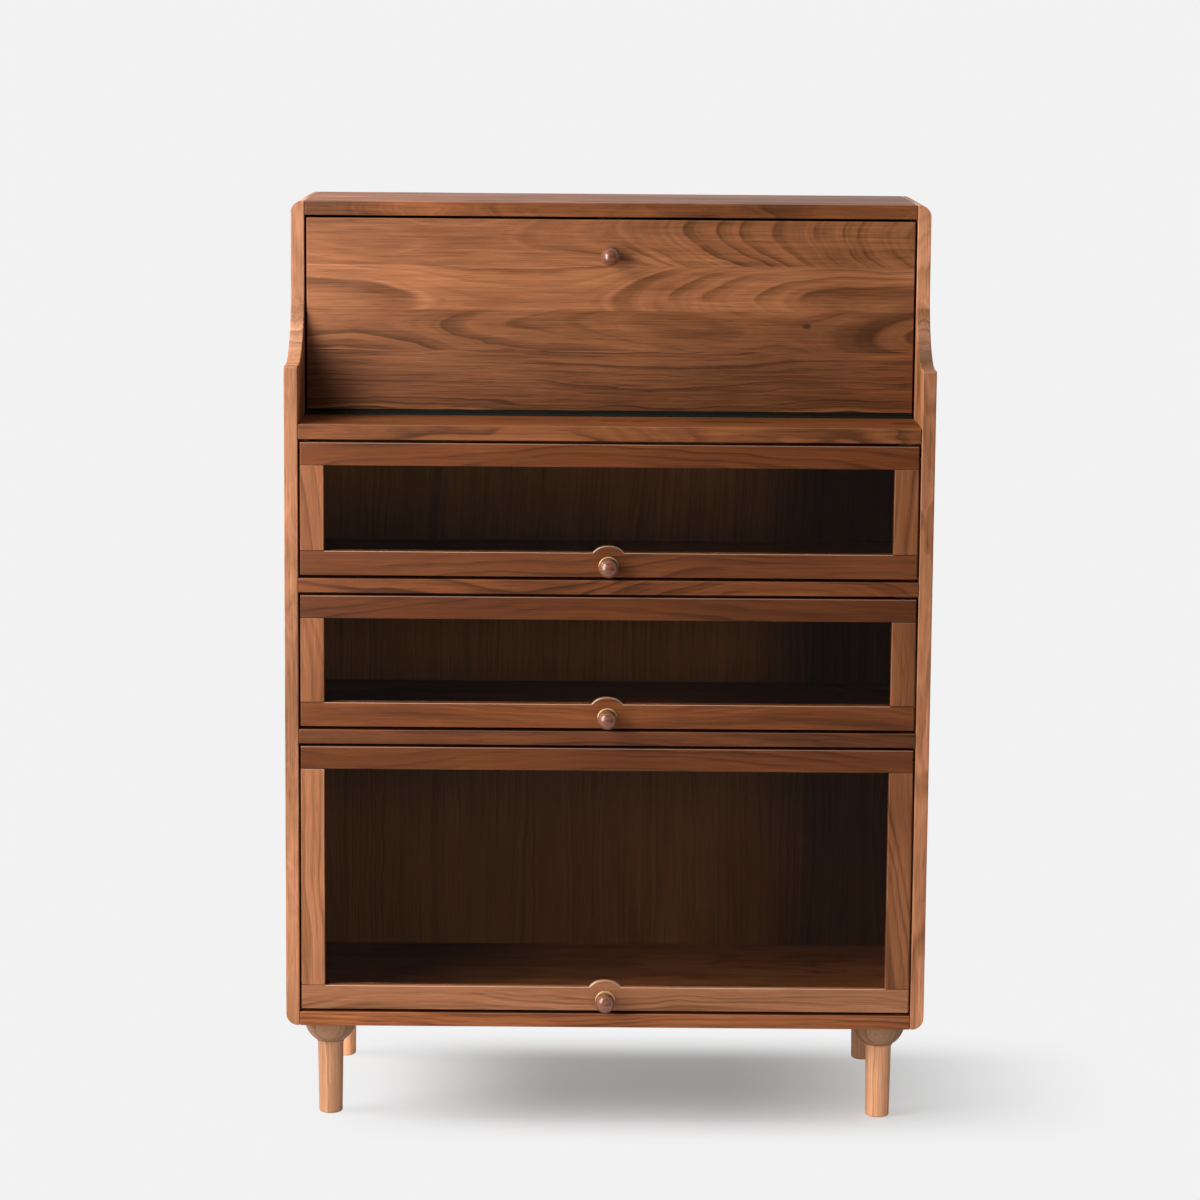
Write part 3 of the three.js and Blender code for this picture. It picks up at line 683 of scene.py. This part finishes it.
def arc(centre, radius, start, end, steps=ARC_STEPS):
    """Points (distance from the axis, height) along a circle, angles in degrees."""
    points = []
    for step in range(steps + 1):
        angle = math.radians(start + (end - start) * step / steps)
        points.append((centre[0] + radius * math.cos(angle), centre[1] + radius * math.sin(angle)))
    return points


def polygon_reach(radius, angle, sides):
    """Distance from the axis to the edge of a regular polygon with this inner radius."""
    pitch = 2 * math.pi / sides
    return radius / math.cos((angle + 0.5 * pitch) % pitch - 0.5 * pitch)


def lathe_ring(build, radius, height, sides=None):
    """A ring of points around the axis, or one point on it."""
    if radius < WELD_GAP:
        return [build.verts.new((0.0, 0.0, height))]
    ring = []
    for step in range(LATHE_STEPS):
        angle = 2 * math.pi * step / LATHE_STEPS
        reach = polygon_reach(radius, angle, sides) if sides else radius
        ring.append(build.verts.new((reach * math.cos(angle), reach * math.sin(angle), height)))
    return ring


def join_rings(build, lower, upper):
    """Faces between two rings, three-cornered where one of them is a point."""
    for step in range(LATHE_STEPS):
        ahead = (step + 1) % LATHE_STEPS
        corners = [
            lower[step % len(lower)],
            lower[ahead % len(lower)],
            upper[ahead % len(upper)],
            upper[step % len(upper)],
        ]
        unique = list(dict.fromkeys(corners))
        if len(unique) > 2:
            build.faces.new(unique)


def turned(name, profile, place, axis):
    """A lathe piece: the points are (distance from the axis, height above the place, sides if not round)."""
    mesh = bpy.data.meshes.new(name)
    build = bmesh.new()
    rings = [lathe_ring(build, *point) for point in profile]
    for lower, upper in zip(rings, rings[1:]):
        join_rings(build, lower, upper)
    bmesh.ops.remove_doubles(build, verts=build.verts, dist=WELD_GAP)
    bmesh.ops.recalc_face_normals(build, faces=build.faces)
    build.to_mesh(mesh)
    build.free()
    for face in mesh.polygons:
        face.use_smooth = True
    mesh.set_sharp_from_angle(angle=math.radians(CREASE_ANGLE))
    piece = bpy.data.objects.new(name, mesh)
    bpy.context.scene.collection.objects.link(piece)
    piece.location = place
    piece.rotation_euler = TURNS[axis]
    return piece


def settle(piece, material, body, slot, *nodes):
    """Finishes a new piece, which rides on the body and stands for the nodes, if any."""
    piece.data.materials.append(material)
    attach(piece, body)
    if nodes:
        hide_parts(*nodes)


def middle_of(node):
    low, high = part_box(node)
    return 0.5 * (low + high)


# Knobs, and the brass roses behind them
BALL_RADIUS = 14.0 * MM
TENON_RADIUS = 4.0 * MM
FLAP_ROSE_RADIUS = 11.25 * MM
DOOR_ROSE_RADIUS = 14.0 * MM
ROSE_THICKNESS = 2.6 * MM
ROSE_BORE = 4.3 * MM
ROSE_LIFT = 0.1 * MM
ROSE_ROUNDING = 0.9 * MM
ROSE_DISH = 0.3 * MM
ROSE_RIM = 2.2 * MM
KNOB_SEAT = 2.9 * MM


def knob_profile(tenon, reach):
    """A tenon of this length behind the face, and a ball that reaches this far in front of it."""
    ball_out = reach - BALL_RADIUS
    seat_angle = math.degrees(math.asin((KNOB_SEAT - ball_out) / BALL_RADIUS))
    profile = [(0.0, -tenon), (TENON_RADIUS, -tenon), (TENON_RADIUS, KNOB_SEAT)]
    profile += arc((0.0, ball_out), BALL_RADIUS, seat_angle, 90.0, BALL_STEPS)
    profile[-1] = (0.0, reach)
    return profile


def rose_profile(radius):
    """A ring with a rounded rim and a shallow dish."""
    rounding = (radius - ROSE_ROUNDING, ROSE_THICKNESS - ROSE_ROUNDING)
    dish = ROSE_THICKNESS - ROSE_DISH
    profile = [(ROSE_BORE, ROSE_LIFT), (radius - ROSE_DISH, ROSE_LIFT), (radius, ROSE_LIFT + ROSE_DISH)]
    profile += arc(rounding, ROSE_ROUNDING, 0.0, 90.0, ROUNDING_STEPS)
    profile += [(radius - ROSE_RIM, dish), (ROSE_BORE, dish), (ROSE_BORE, ROSE_LIFT)]
    return profile


def make_knobs():
    wood = knob_material()
    metal = brass_material()
    for owner in OWNERS:
        knob = f"{owner}_knob"
        rose = f"{owner}_knob_rose"
        centre = middle_of(rose)
        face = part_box(rose)[1].y
        knob_low, knob_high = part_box(knob)
        profile = knob_profile(knob_high.y - face, face - knob_low.y)
        place = (centre.x, face, centre.z)
        settle(turned(f"{knob}_turned", profile, place, "front"), wood, owner, "walnut_knob", knob)
        ring = rose_profile(FLAP_ROSE_RADIUS if owner == "flap" else DOOR_ROSE_RADIUS)
        settle(turned(f"{rose}_turned", ring, place, "front"), metal, owner, "brass", rose)


# Legs, and the bowls between them and the case
FOOT_RADIUS = 16.75 * MM
FOOT_ROUNDING = 3.0 * MM
SHAFT_RADIUS = 18.25 * MM
RING_RADIUS = 19.5 * MM
RING_HEIGHT = 3.0 * MM
COLLAR_RADIUS = 37.5 * MM
COLLAR_RIM = 1.5 * MM
COLLAR_BORE = 10.3 * MM
TENON_FIT = 0.3 * MM
# The legs are tinted far lighter than the boards, as painted light for the floor's bounce on them, and each
# leg by its own amount as painted light and shade: legs in the case's shade are painted lighter
LEG_TINT_AND_LIGHT = (1.95, 2.65, 3.9)
LEG_LIGHT_TONES = {"front_left": 0.82, "front_right": 1.25, "rear_left": 1.8, "rear_right": 1.2}
LEG_SEED = 301
LEG_FINISH = {"roughness": 0.42, "bump": 0.08, "contrast": 0.6}
COLLAR_TINT = (1.0, 1.45, 2.1)
COLLAR_SEED = 311
COLLAR_FINISH = {"roughness": 0.45, "bump": 0.08, "contrast": 0.7}


def leg_profile(neck, top):
    """The tapered shaft, a thin ring under the collar's neck, and the tenon."""
    shaft_top = neck - TENON_FIT
    ring_low = shaft_top - RING_HEIGHT
    bead = 0.5 * RING_HEIGHT
    profile = [(0.0, 0.0)]
    rounding = (FOOT_RADIUS - FOOT_ROUNDING, FOOT_ROUNDING)
    profile += arc(rounding, FOOT_ROUNDING, -90.0, 0.0, ROUNDING_STEPS)
    profile += [(0.5 * (FOOT_RADIUS + SHAFT_RADIUS), 0.5 * ring_low), (SHAFT_RADIUS, ring_low)]
    profile += arc((RING_RADIUS - bead, ring_low + bead), bead, -90.0, 90.0, ROUNDING_STEPS)
    tenon = COLLAR_BORE - TENON_FIT
    profile += [(tenon, shaft_top), (tenon, top), (0.0, top)]
    return profile


def collar_profile(neck, top):
    """A bowl that is part of a sphere, with a narrow upright rim under the case."""
    rim_low = top - COLLAR_RIM
    neck_angle = math.degrees(math.acos((rim_low - neck) / COLLAR_RADIUS)) - 90.0
    profile = [(COLLAR_BORE, neck)]
    profile += arc((0.0, rim_low), COLLAR_RADIUS, neck_angle, 0.0)
    profile += [(COLLAR_RADIUS, top), (COLLAR_BORE, top), (COLLAR_BORE, neck)]
    return profile


def make_legs():
    bowl_wood = walnut("leg_collar", "XYZ", COLLAR_SEED, (COLLAR_PLANK,), COLLAR_TINT, **COLLAR_FINISH)
    for number, (corner, tone) in enumerate(LEG_LIGHT_TONES.items()):
        shade = tuple(tone * value for value in LEG_TINT_AND_LIGHT)
        leg = f"leg_{corner}"
        wood = walnut(leg, "ZXY", LEG_SEED + number, (LEG_PLANK,), shade, **LEG_FINISH)
        collar = f"leg_collar_{corner}"
        centre = middle_of(leg)
        collar_low, collar_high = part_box(collar)
        place = (centre.x, centre.y, 0.0)
        shaft = turned(f"{leg}_turned", leg_profile(collar_low.z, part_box(leg)[1].z), place, "up")
        settle(shaft, wood, "cabinet", "walnut_leg", leg)
        bowl = turned(f"{collar}_turned", collar_profile(collar_low.z, collar_high.z), place, "up")
        settle(bowl, bowl_wood, "cabinet", "walnut_leg", collar)


# Screws and magnets
HINGE_SCREWS_X = (-380 * MM, -190 * MM, 0.0, 190 * MM, 380 * MM)
HINGE_SCREW_RADIUS = 3.2 * MM
HINGE_SCREW_INSET = 6.5 * MM
LEAF_SINK = 0.2 * MM
LEAF_THICKNESS = 1.2 * MM
STRIKE_SCREW_X = 9 * MM
STRIKE_SCREW_RADIUS = 2.4 * MM
KNOB_SCREW_RADIUS = 3.4 * MM
KNOB_SCREW_HEIGHT = 1.9 * MM
MAGNET_X = 10 * MM
MAGNET_RADIUS = 4 * MM
MAGNET_HEIGHT = 0.2 * MM
MAGNET_SINK = 1.0 * MM
MAGNET_RIM = 0.15 * MM
FLUSH = 0.12 * MM
SCREW_SINK = 0.3 * MM
SCREW_TIP_SHARE = 0.5
SCREW_RIM_SHARE = 0.12
SOCKET_SHARE = 0.42
SOCKET_DEPTH_SHARE = 0.45
SOCKET_SIDES = 6


def screw_profile(radius, height):
    """A head with an eased rim and a six-sided socket."""
    rim = SCREW_RIM_SHARE * radius
    socket = SOCKET_SHARE * radius
    root = -SCREW_SINK
    floor = height - SOCKET_DEPTH_SHARE * radius
    return [
        (0.0, root - radius),
        (SCREW_TIP_SHARE * radius, root - radius),
        (radius, root),
        (radius, max(height - rim, root)),
        (radius - rim, height),
        (socket, height, SOCKET_SIDES),
        (socket, floor, SOCKET_SIDES),
        (0.0, floor),
    ]


def magnet_profile():
    return [
        (0.0, -MAGNET_SINK),
        (MAGNET_RADIUS, -MAGNET_SINK),
        (MAGNET_RADIUS, MAGNET_HEIGHT - MAGNET_RIM),
        (MAGNET_RADIUS - MAGNET_RIM, MAGNET_HEIGHT),
        (0.0, MAGNET_HEIGHT),
    ]


def make_hinge_screws(material):
    case_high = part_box("counter_board")[1].z - LEAF_SINK
    flap_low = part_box("flap_hinge_leaf")[1].z - LEAF_THICKNESS
    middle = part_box("case_hinge_leaf")[1].y - HINGE_SCREW_INSET
    profile = screw_profile(HINGE_SCREW_RADIUS, FLUSH)
    for number, x in enumerate(HINGE_SCREWS_X):
        case = turned(f"case_hinge_screw_{number}", profile, (x, middle, case_high), "up")
        settle(case, material, "cabinet", "black_hinge")
        flap = turned(f"flap_hinge_screw_{number}", profile, (x, middle, flap_low), "down")
        settle(flap, material, "flap", "black_hinge")


def make_catch_details(material):
    """The screws of strikes and knobs, and the catches' magnets."""
    strike_screw = screw_profile(STRIKE_SCREW_RADIUS, FLUSH)
    knob_screw = screw_profile(KNOB_SCREW_RADIUS, KNOB_SCREW_HEIGHT)
    for owner in OWNERS:
        strike_low, strike_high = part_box(f"{owner}_strike")
        catch_low, catch_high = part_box(f"{owner}_catch")
        strike_middle = 0.5 * (strike_low.z + strike_high.z)
        catch_middle = 0.5 * (catch_low.z + catch_high.z)
        for number, side in enumerate((-1, 1)):
            place = (side * STRIKE_SCREW_X, strike_high.y, strike_middle)
            screw = turned(f"{owner}_strike_screw_{number}", strike_screw, place, "back")
            settle(screw, material, owner, "steel")
            place = (side * MAGNET_X, catch_low.y, catch_middle)
            magnet = turned(f"{owner}_magnet_{number}", magnet_profile(), place, "front")
            settle(magnet, material, "cabinet", "steel")
        knob_middle = middle_of(f"{owner}_knob")
        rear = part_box("flap_panel" if owner == "flap" else f"{owner}_bottom_rail")[1].y
        screw = turned(f"{owner}_knob_screw", knob_screw, (knob_middle.x, rear, knob_middle.z), "back")
        settle(screw, material, owner, "steel")


# Finishes of the other pieces
FINE_DETAIL = (3.0, 0.6)
KNOB_STOPS = ((0.3, (0.085, 0.026, 0.012)), (0.5, (0.155, 0.051, 0.025)), (0.72, (0.24, 0.086, 0.045)))
KNOB_GRAIN = (60.0, 700.0, 60.0)
KNOB_ROUGHNESS = 0.3
KNOB_ROUGHNESS_SWING = 0.12
KNOB_RELIEF = 0.3 * MM


def knob_material():
    """Dark lacquered walnut."""
    material, graph = new_material("knob")
    place = graph.add("ShaderNodeTexCoord").outputs["Object"]
    stretch = graph.add("ShaderNodeVectorMath", {0: place, 1: KNOB_GRAIN}, operation="MULTIPLY")
    grain = graph.noise(stretch.outputs[0], 1.0, *FINE_DETAIL)
    rough = graph.math("ADD", graph.swing(grain, KNOB_ROUGHNESS_SWING), KNOB_ROUGHNESS)
    relief = graph.add("ShaderNodeBump", {"Strength": 0.06, "Distance": KNOB_RELIEF, "Height": grain})
    shader = graph.add(
        "ShaderNodeBsdfPrincipled",
        {
            "Base Color": graph.ramp(grain, KNOB_STOPS),
            "Roughness": rough,
            "Normal": relief.outputs[0],
            "Coat Weight": 0.9,
            "Coat Roughness": 0.19,
            "Coat IOR": 1.55,
        },
    )
    graph.finish(shader)
    return material


MARKS_SCALE = 260.0
METAL_RELIEF = 0.2 * MM
METAL_ROUGHNESS_SWING = 0.4
METAL_STOPS = (0.3, 0.7)


def metal_material(name, colours, roughness, scale, metallic=1.0, bump=0.05, gloss=0.5):
    """Metal or hard plastic with a brushed tone and small marks.

    The scale says how often the brushed tone changes in a metre along each axis.
    """
    material, graph = new_material(name)
    place = graph.add("ShaderNodeTexCoord").outputs["Object"]
    brushed = graph.add("ShaderNodeVectorMath", {0: place, 1: scale}, operation="MULTIPLY").outputs[0]
    lines = graph.noise(brushed, 1.0, *FINE_DETAIL)
    marks = graph.noise(place, MARKS_SCALE, *FINE_DETAIL)
    mixed = graph.math("MULTIPLY", graph.math("ADD", lines, marks), 0.5)
    relief = graph.add("ShaderNodeBump", {"Strength": bump, "Distance": METAL_RELIEF, "Height": mixed})
    shader = graph.add(
        "ShaderNodeBsdfPrincipled",
        {
            "Base Color": graph.ramp(mixed, tuple(zip(METAL_STOPS, colours))),
            "Roughness": graph.math("ADD", graph.swing(mixed, METAL_ROUGHNESS_SWING), roughness),
            "Specular IOR Level": gloss,
            "Metallic": metallic,
            "Normal": relief.outputs[0],
        },
    )
    graph.finish(shader)
    return material


BRASS_TONES = ((0.8, 0.5, 0.17), (1.0, 0.72, 0.32))


def brass_material():
    return metal_material("brass", BRASS_TONES, 0.3, (400.0, 400.0, 4000.0), metallic=0.6)


GLASS_TINT = (0.86, 0.88, 0.86, 1.0)
SMEARS = (14.0, 4.0, 0.6)
SMEAR_START = 0.55
SMEAR_STRENGTH = 0.5


def glass_material():
    """Clear glass with faint smears; shadow rays pass straight through."""
    material, graph = new_material("door_glass")
    place = graph.add("ShaderNodeTexCoord").outputs["Object"]
    smears = graph.math("SUBTRACT", graph.noise(place, *SMEARS), SMEAR_START)
    haze = graph.math("MULTIPLY", graph.math("MAXIMUM", smears, 0.0), SMEAR_STRENGTH)
    pane = graph.add(
        "ShaderNodeBsdfPrincipled",
        {
            "Base Color": GLASS_TINT,
            "Roughness": haze,
            "IOR": 1.3,
            "Transmission Weight": 1.0,
        },
    )
    clear = graph.add("ShaderNodeBsdfTransparent", {"Color": GLASS_TINT})
    shadow = graph.add("ShaderNodeLightPath").outputs["Is Shadow Ray"]
    mix = graph.add("ShaderNodeMixShader", {0: shadow, 1: pane.outputs[0], 2: clear.outputs[0]})
    graph.finish(mix)
    return material


STEEL_TONES = ((0.42, 0.43, 0.45), (0.66, 0.67, 0.68))
SCREW_TONES = ((0.05, 0.05, 0.052), (0.1, 0.1, 0.104))
BLACK_TONES = ((0.006, 0.008, 0.007), (0.013, 0.015, 0.013))
BRONZE_TONES = ((0.03, 0.02, 0.014), (0.07, 0.047, 0.032))
PLASTIC_TONES = ((0.014, 0.014, 0.015), (0.028, 0.028, 0.029))
ALL_WAYS = (300.0, 300.0, 300.0)


def dress_fittings():
    """Glass, beads, pivots, strikes, catches and the flap's hinge, and their screws and magnets."""
    glass = glass_material()
    steel = metal_material("steel", STEEL_TONES, 0.32, (1200.0, 60.0, 60.0))
    black = metal_material("black_hinge", BLACK_TONES, 0.6, (40.0, 900.0, 900.0), metallic=0.0, gloss=0.1)
    bronze = metal_material("bronze_pivot", BRONZE_TONES, 0.5, ALL_WAYS)
    plastic = metal_material("black_catch", PLASTIC_TONES, 0.5, ALL_WAYS, metallic=0.0, bump=0.2)
    bead = walnut("glass_bead", "XZY", BEAD_SEED, (BEAD_PLANK,), SHELF_TINT)
    for door in DOORS:
        dress(f"{door}_glass", glass)
        dress(f"{door}_glass_bead", bead)
        dress(f"{door}_pivot_left", bronze)
        dress(f"{door}_pivot_right", bronze)
    for owner in OWNERS:
        dress(f"{owner}_strike", steel)
        dress(f"{owner}_catch", plastic)
    for node in ("flap_hinge_leaf", "case_hinge_leaf", "hinge_pin"):
        dress(node, black)
    make_hinge_screws(metal_material("black_screw", SCREW_TONES, 0.42, ALL_WAYS))
    make_catch_details(steel)


# Stage
def seen_rays(graph):
    """Rays from the camera, also straight through glass, but not those scattered or mirrored before."""
    rays = graph.add("ShaderNodeLightPath").outputs
    turns = graph.math("ADD", rays["Diffuse Depth"], rays["Glossy Depth"])
    through = graph.math("MULTIPLY", rays["Is Transmission Ray"], graph.math("LESS_THAN", turns, 0.5))
    return graph.math("MAXIMUM", rays["Is Camera Ray"], through)


def mirrored_rays(graph):
    """Rays that a glossy surface sends on, also when they leave it through glass."""
    rays = graph.add("ShaderNodeLightPath").outputs
    mirrored = graph.math("GREATER_THAN", rays["Glossy Depth"], 0.5)
    inside = graph.math("MULTIPLY", rays["Is Transmission Ray"], mirrored)
    return graph.math("MAXIMUM", rays["Is Glossy Ray"], inside)


def make_floor():
    """A pale floor that keeps the object's shadow near it and fades into the page."""
    bpy.ops.mesh.primitive_circle_add(vertices=FLOOR_SIDES, radius=FLOOR_RADIUS, fill_type="NGON")
    floor = bpy.context.object
    floor.name = "floor"
    material, graph = new_material("floor")
    place = graph.add("ShaderNodeTexCoord").outputs["Object"]
    parts = graph.add("ShaderNodeSeparateXYZ", {0: place}).outputs
    outside = [
        graph.fade(parts[0], *SHADOW_LEFT),
        graph.fade(parts[0], *SHADOW_RIGHT),
        graph.fade(parts[1], *SHADOW_FRONT),
        graph.fade(parts[1], *SHADOW_BACK),
    ]
    kept = 1.0 - SHADOW_LIFT
    for value in outside:
        kept = graph.math("MULTIPLY", kept, graph.math("SUBTRACT", 1.0, value))
    share = graph.math("MULTIPLY", graph.math("SUBTRACT", 1.0, kept), seen_rays(graph))
    front = graph.fade(parts[1], *FRONT_FLOOR)
    mirrored = graph.math("MULTIPLY", mirrored_rays(graph), MIRRORED_DIM)
    diffuse = graph.add("ShaderNodeLightPath").outputs["Is Diffuse Ray"]
    scattered = graph.math("MULTIPLY", diffuse, SCATTERED_DIM)
    dim = graph.math("MULTIPLY", front, graph.math("MAXIMUM", mirrored, scattered))
    lit = graph.add("ShaderNodeBsdfDiffuse", {"Color": graph.blend(dim, PAGE_COLOUR, BLACK)})
    plain = graph.add("ShaderNodeEmission", {"Color": PAGE_COLOUR, "Strength": 1.0})
    mix = graph.add("ShaderNodeMixShader", {0: share, 1: lit.outputs[0], 2: plain.outputs[0]})
    graph.finish(mix)
    floor.data.materials.append(material)
    return floor


def make_world():
    """A soft dome, brighter on the left; gloss sees it dark behind the camera."""
    world = bpy.data.worlds.new("studio")
    bpy.context.scene.world = world
    world.use_nodes = True
    graph = Graph(world.node_tree)
    seen = seen_rays(graph)
    glossy = mirrored_rays(graph)
    direction = graph.add("ShaderNodeTexCoord").outputs["Generated"]
    parts = graph.add("ShaderNodeSeparateXYZ", {0: direction}).outputs
    lean = graph.math("SUBTRACT", 1.0, graph.math("MULTIPLY", parts[0], DOME_BIAS))
    dome = graph.math("MULTIPLY", lean, DOME)
    shine = graph.fade(parts[1], *GLOSS_SKY)
    unseen = graph.math(
        "ADD",
        graph.math("MULTIPLY", dome, graph.math("SUBTRACT", 1.0, glossy)),
        graph.math("MULTIPLY", shine, glossy),
    )
    strength = graph.math("ADD", graph.math("MULTIPLY", unseen, graph.math("SUBTRACT", 1.0, seen)), seen)
    background = graph.add("ShaderNodeBackground", {"Color": PAGE_COLOUR, "Strength": strength})
    output = graph.add("ShaderNodeOutputWorld")
    graph.tree.links.new(background.outputs[0], output.inputs["Surface"])


def place_lamp(data, place, towards):
    lamp = bpy.data.objects.new(data.name, data)
    bpy.context.scene.collection.objects.link(lamp)
    lamp.location = place
    lamp.rotation_mode = "QUATERNION"
    lamp.rotation_quaternion = (Vector(towards) - Vector(place)).to_track_quat("-Z", "Y")
    return lamp


def light_group(name, pieces, state):
    """The pieces that a lamp lights, with state INCLUDE, or leaves out, with EXCLUDE."""
    group = bpy.data.collections.new(f"{name}_light_receivers")
    for piece in pieces:
        group.objects.link(piece)
    for link in group.collection_objects:
        link.light_linking.link_state = state
    return group


def make_lamps(floor):
    """A wide sun for the whole stage, and near soft panels that leave out the floor and the back."""
    sun = bpy.data.lights.new("sun", "SUN")
    sun.energy = SUN_STRENGTH
    sun.angle = math.radians(SUN_SPREAD)
    place_lamp(sun, SUN_DIRECTION, (0.0, 0.0, 0.0)).visible_glossy = False
    near_group = light_group("near", (floor, bpy.data.objects["back_panel"]), "EXCLUDE")
    for name, (power, size, place, target) in NEAR_LAMPS.items():
        panel = bpy.data.lights.new(name, "AREA")
        panel.shape = "RECTANGLE"
        panel.size, panel.size_y = size
        panel.energy = power
        lamp = place_lamp(panel, place, target)
        lamp.light_linking.receiver_collection = near_group
        if name in LAMP_NODES:
            lit = [bpy.data.objects[node] for node in LAMP_NODES[name]]
            lamp.light_linking.receiver_collection = light_group(name, lit, "INCLUDE")
        lamp.visible_glossy = name == GLOSSY_LAMP
        lamp.visible_transmission = False


def make_camera():
    data = bpy.data.cameras.new("camera")
    data.sensor_width = SENSOR_WIDTH
    data.lens = SENSOR_WIDTH * FOCUS_PIXELS / FRAME_PIXELS
    data.shift_x = -SHIFT_RIGHT_PIXELS / FRAME_PIXELS
    data.shift_y = -SHIFT_UP_PIXELS / FRAME_PIXELS
    camera = bpy.data.objects.new("camera", data)
    bpy.context.scene.collection.objects.link(camera)
    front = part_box("door_lower_bottom_rail")[0].y
    ahead = Vector(
        (
            math.sin(CAMERA_YAW) * math.cos(CAMERA_PITCH),
            math.cos(CAMERA_YAW) * math.cos(CAMERA_PITCH),
            -math.sin(CAMERA_PITCH),
        )
    )
    level = Vector((math.cos(CAMERA_YAW), -math.sin(CAMERA_YAW), 0.0))
    upright = level.cross(ahead)
    right = math.cos(CAMERA_ROLL) * level + math.sin(CAMERA_ROLL) * upright
    up = right.cross(ahead)
    turn = Matrix((right, up, -ahead)).transposed()
    place = (CAMERA_X, front - CAMERA_BACK, CAMERA_HEIGHT)
    camera.matrix_world = Matrix.Translation(place) @ turn.to_4x4()
    bpy.context.scene.camera = camera


make_camera()
make_world()
make_lamps(make_floor())
dress_boards()
dress_frames()
dress_fittings()
make_knobs()
make_legs()

bpy.context.scene.view_settings.view_transform = "Standard"
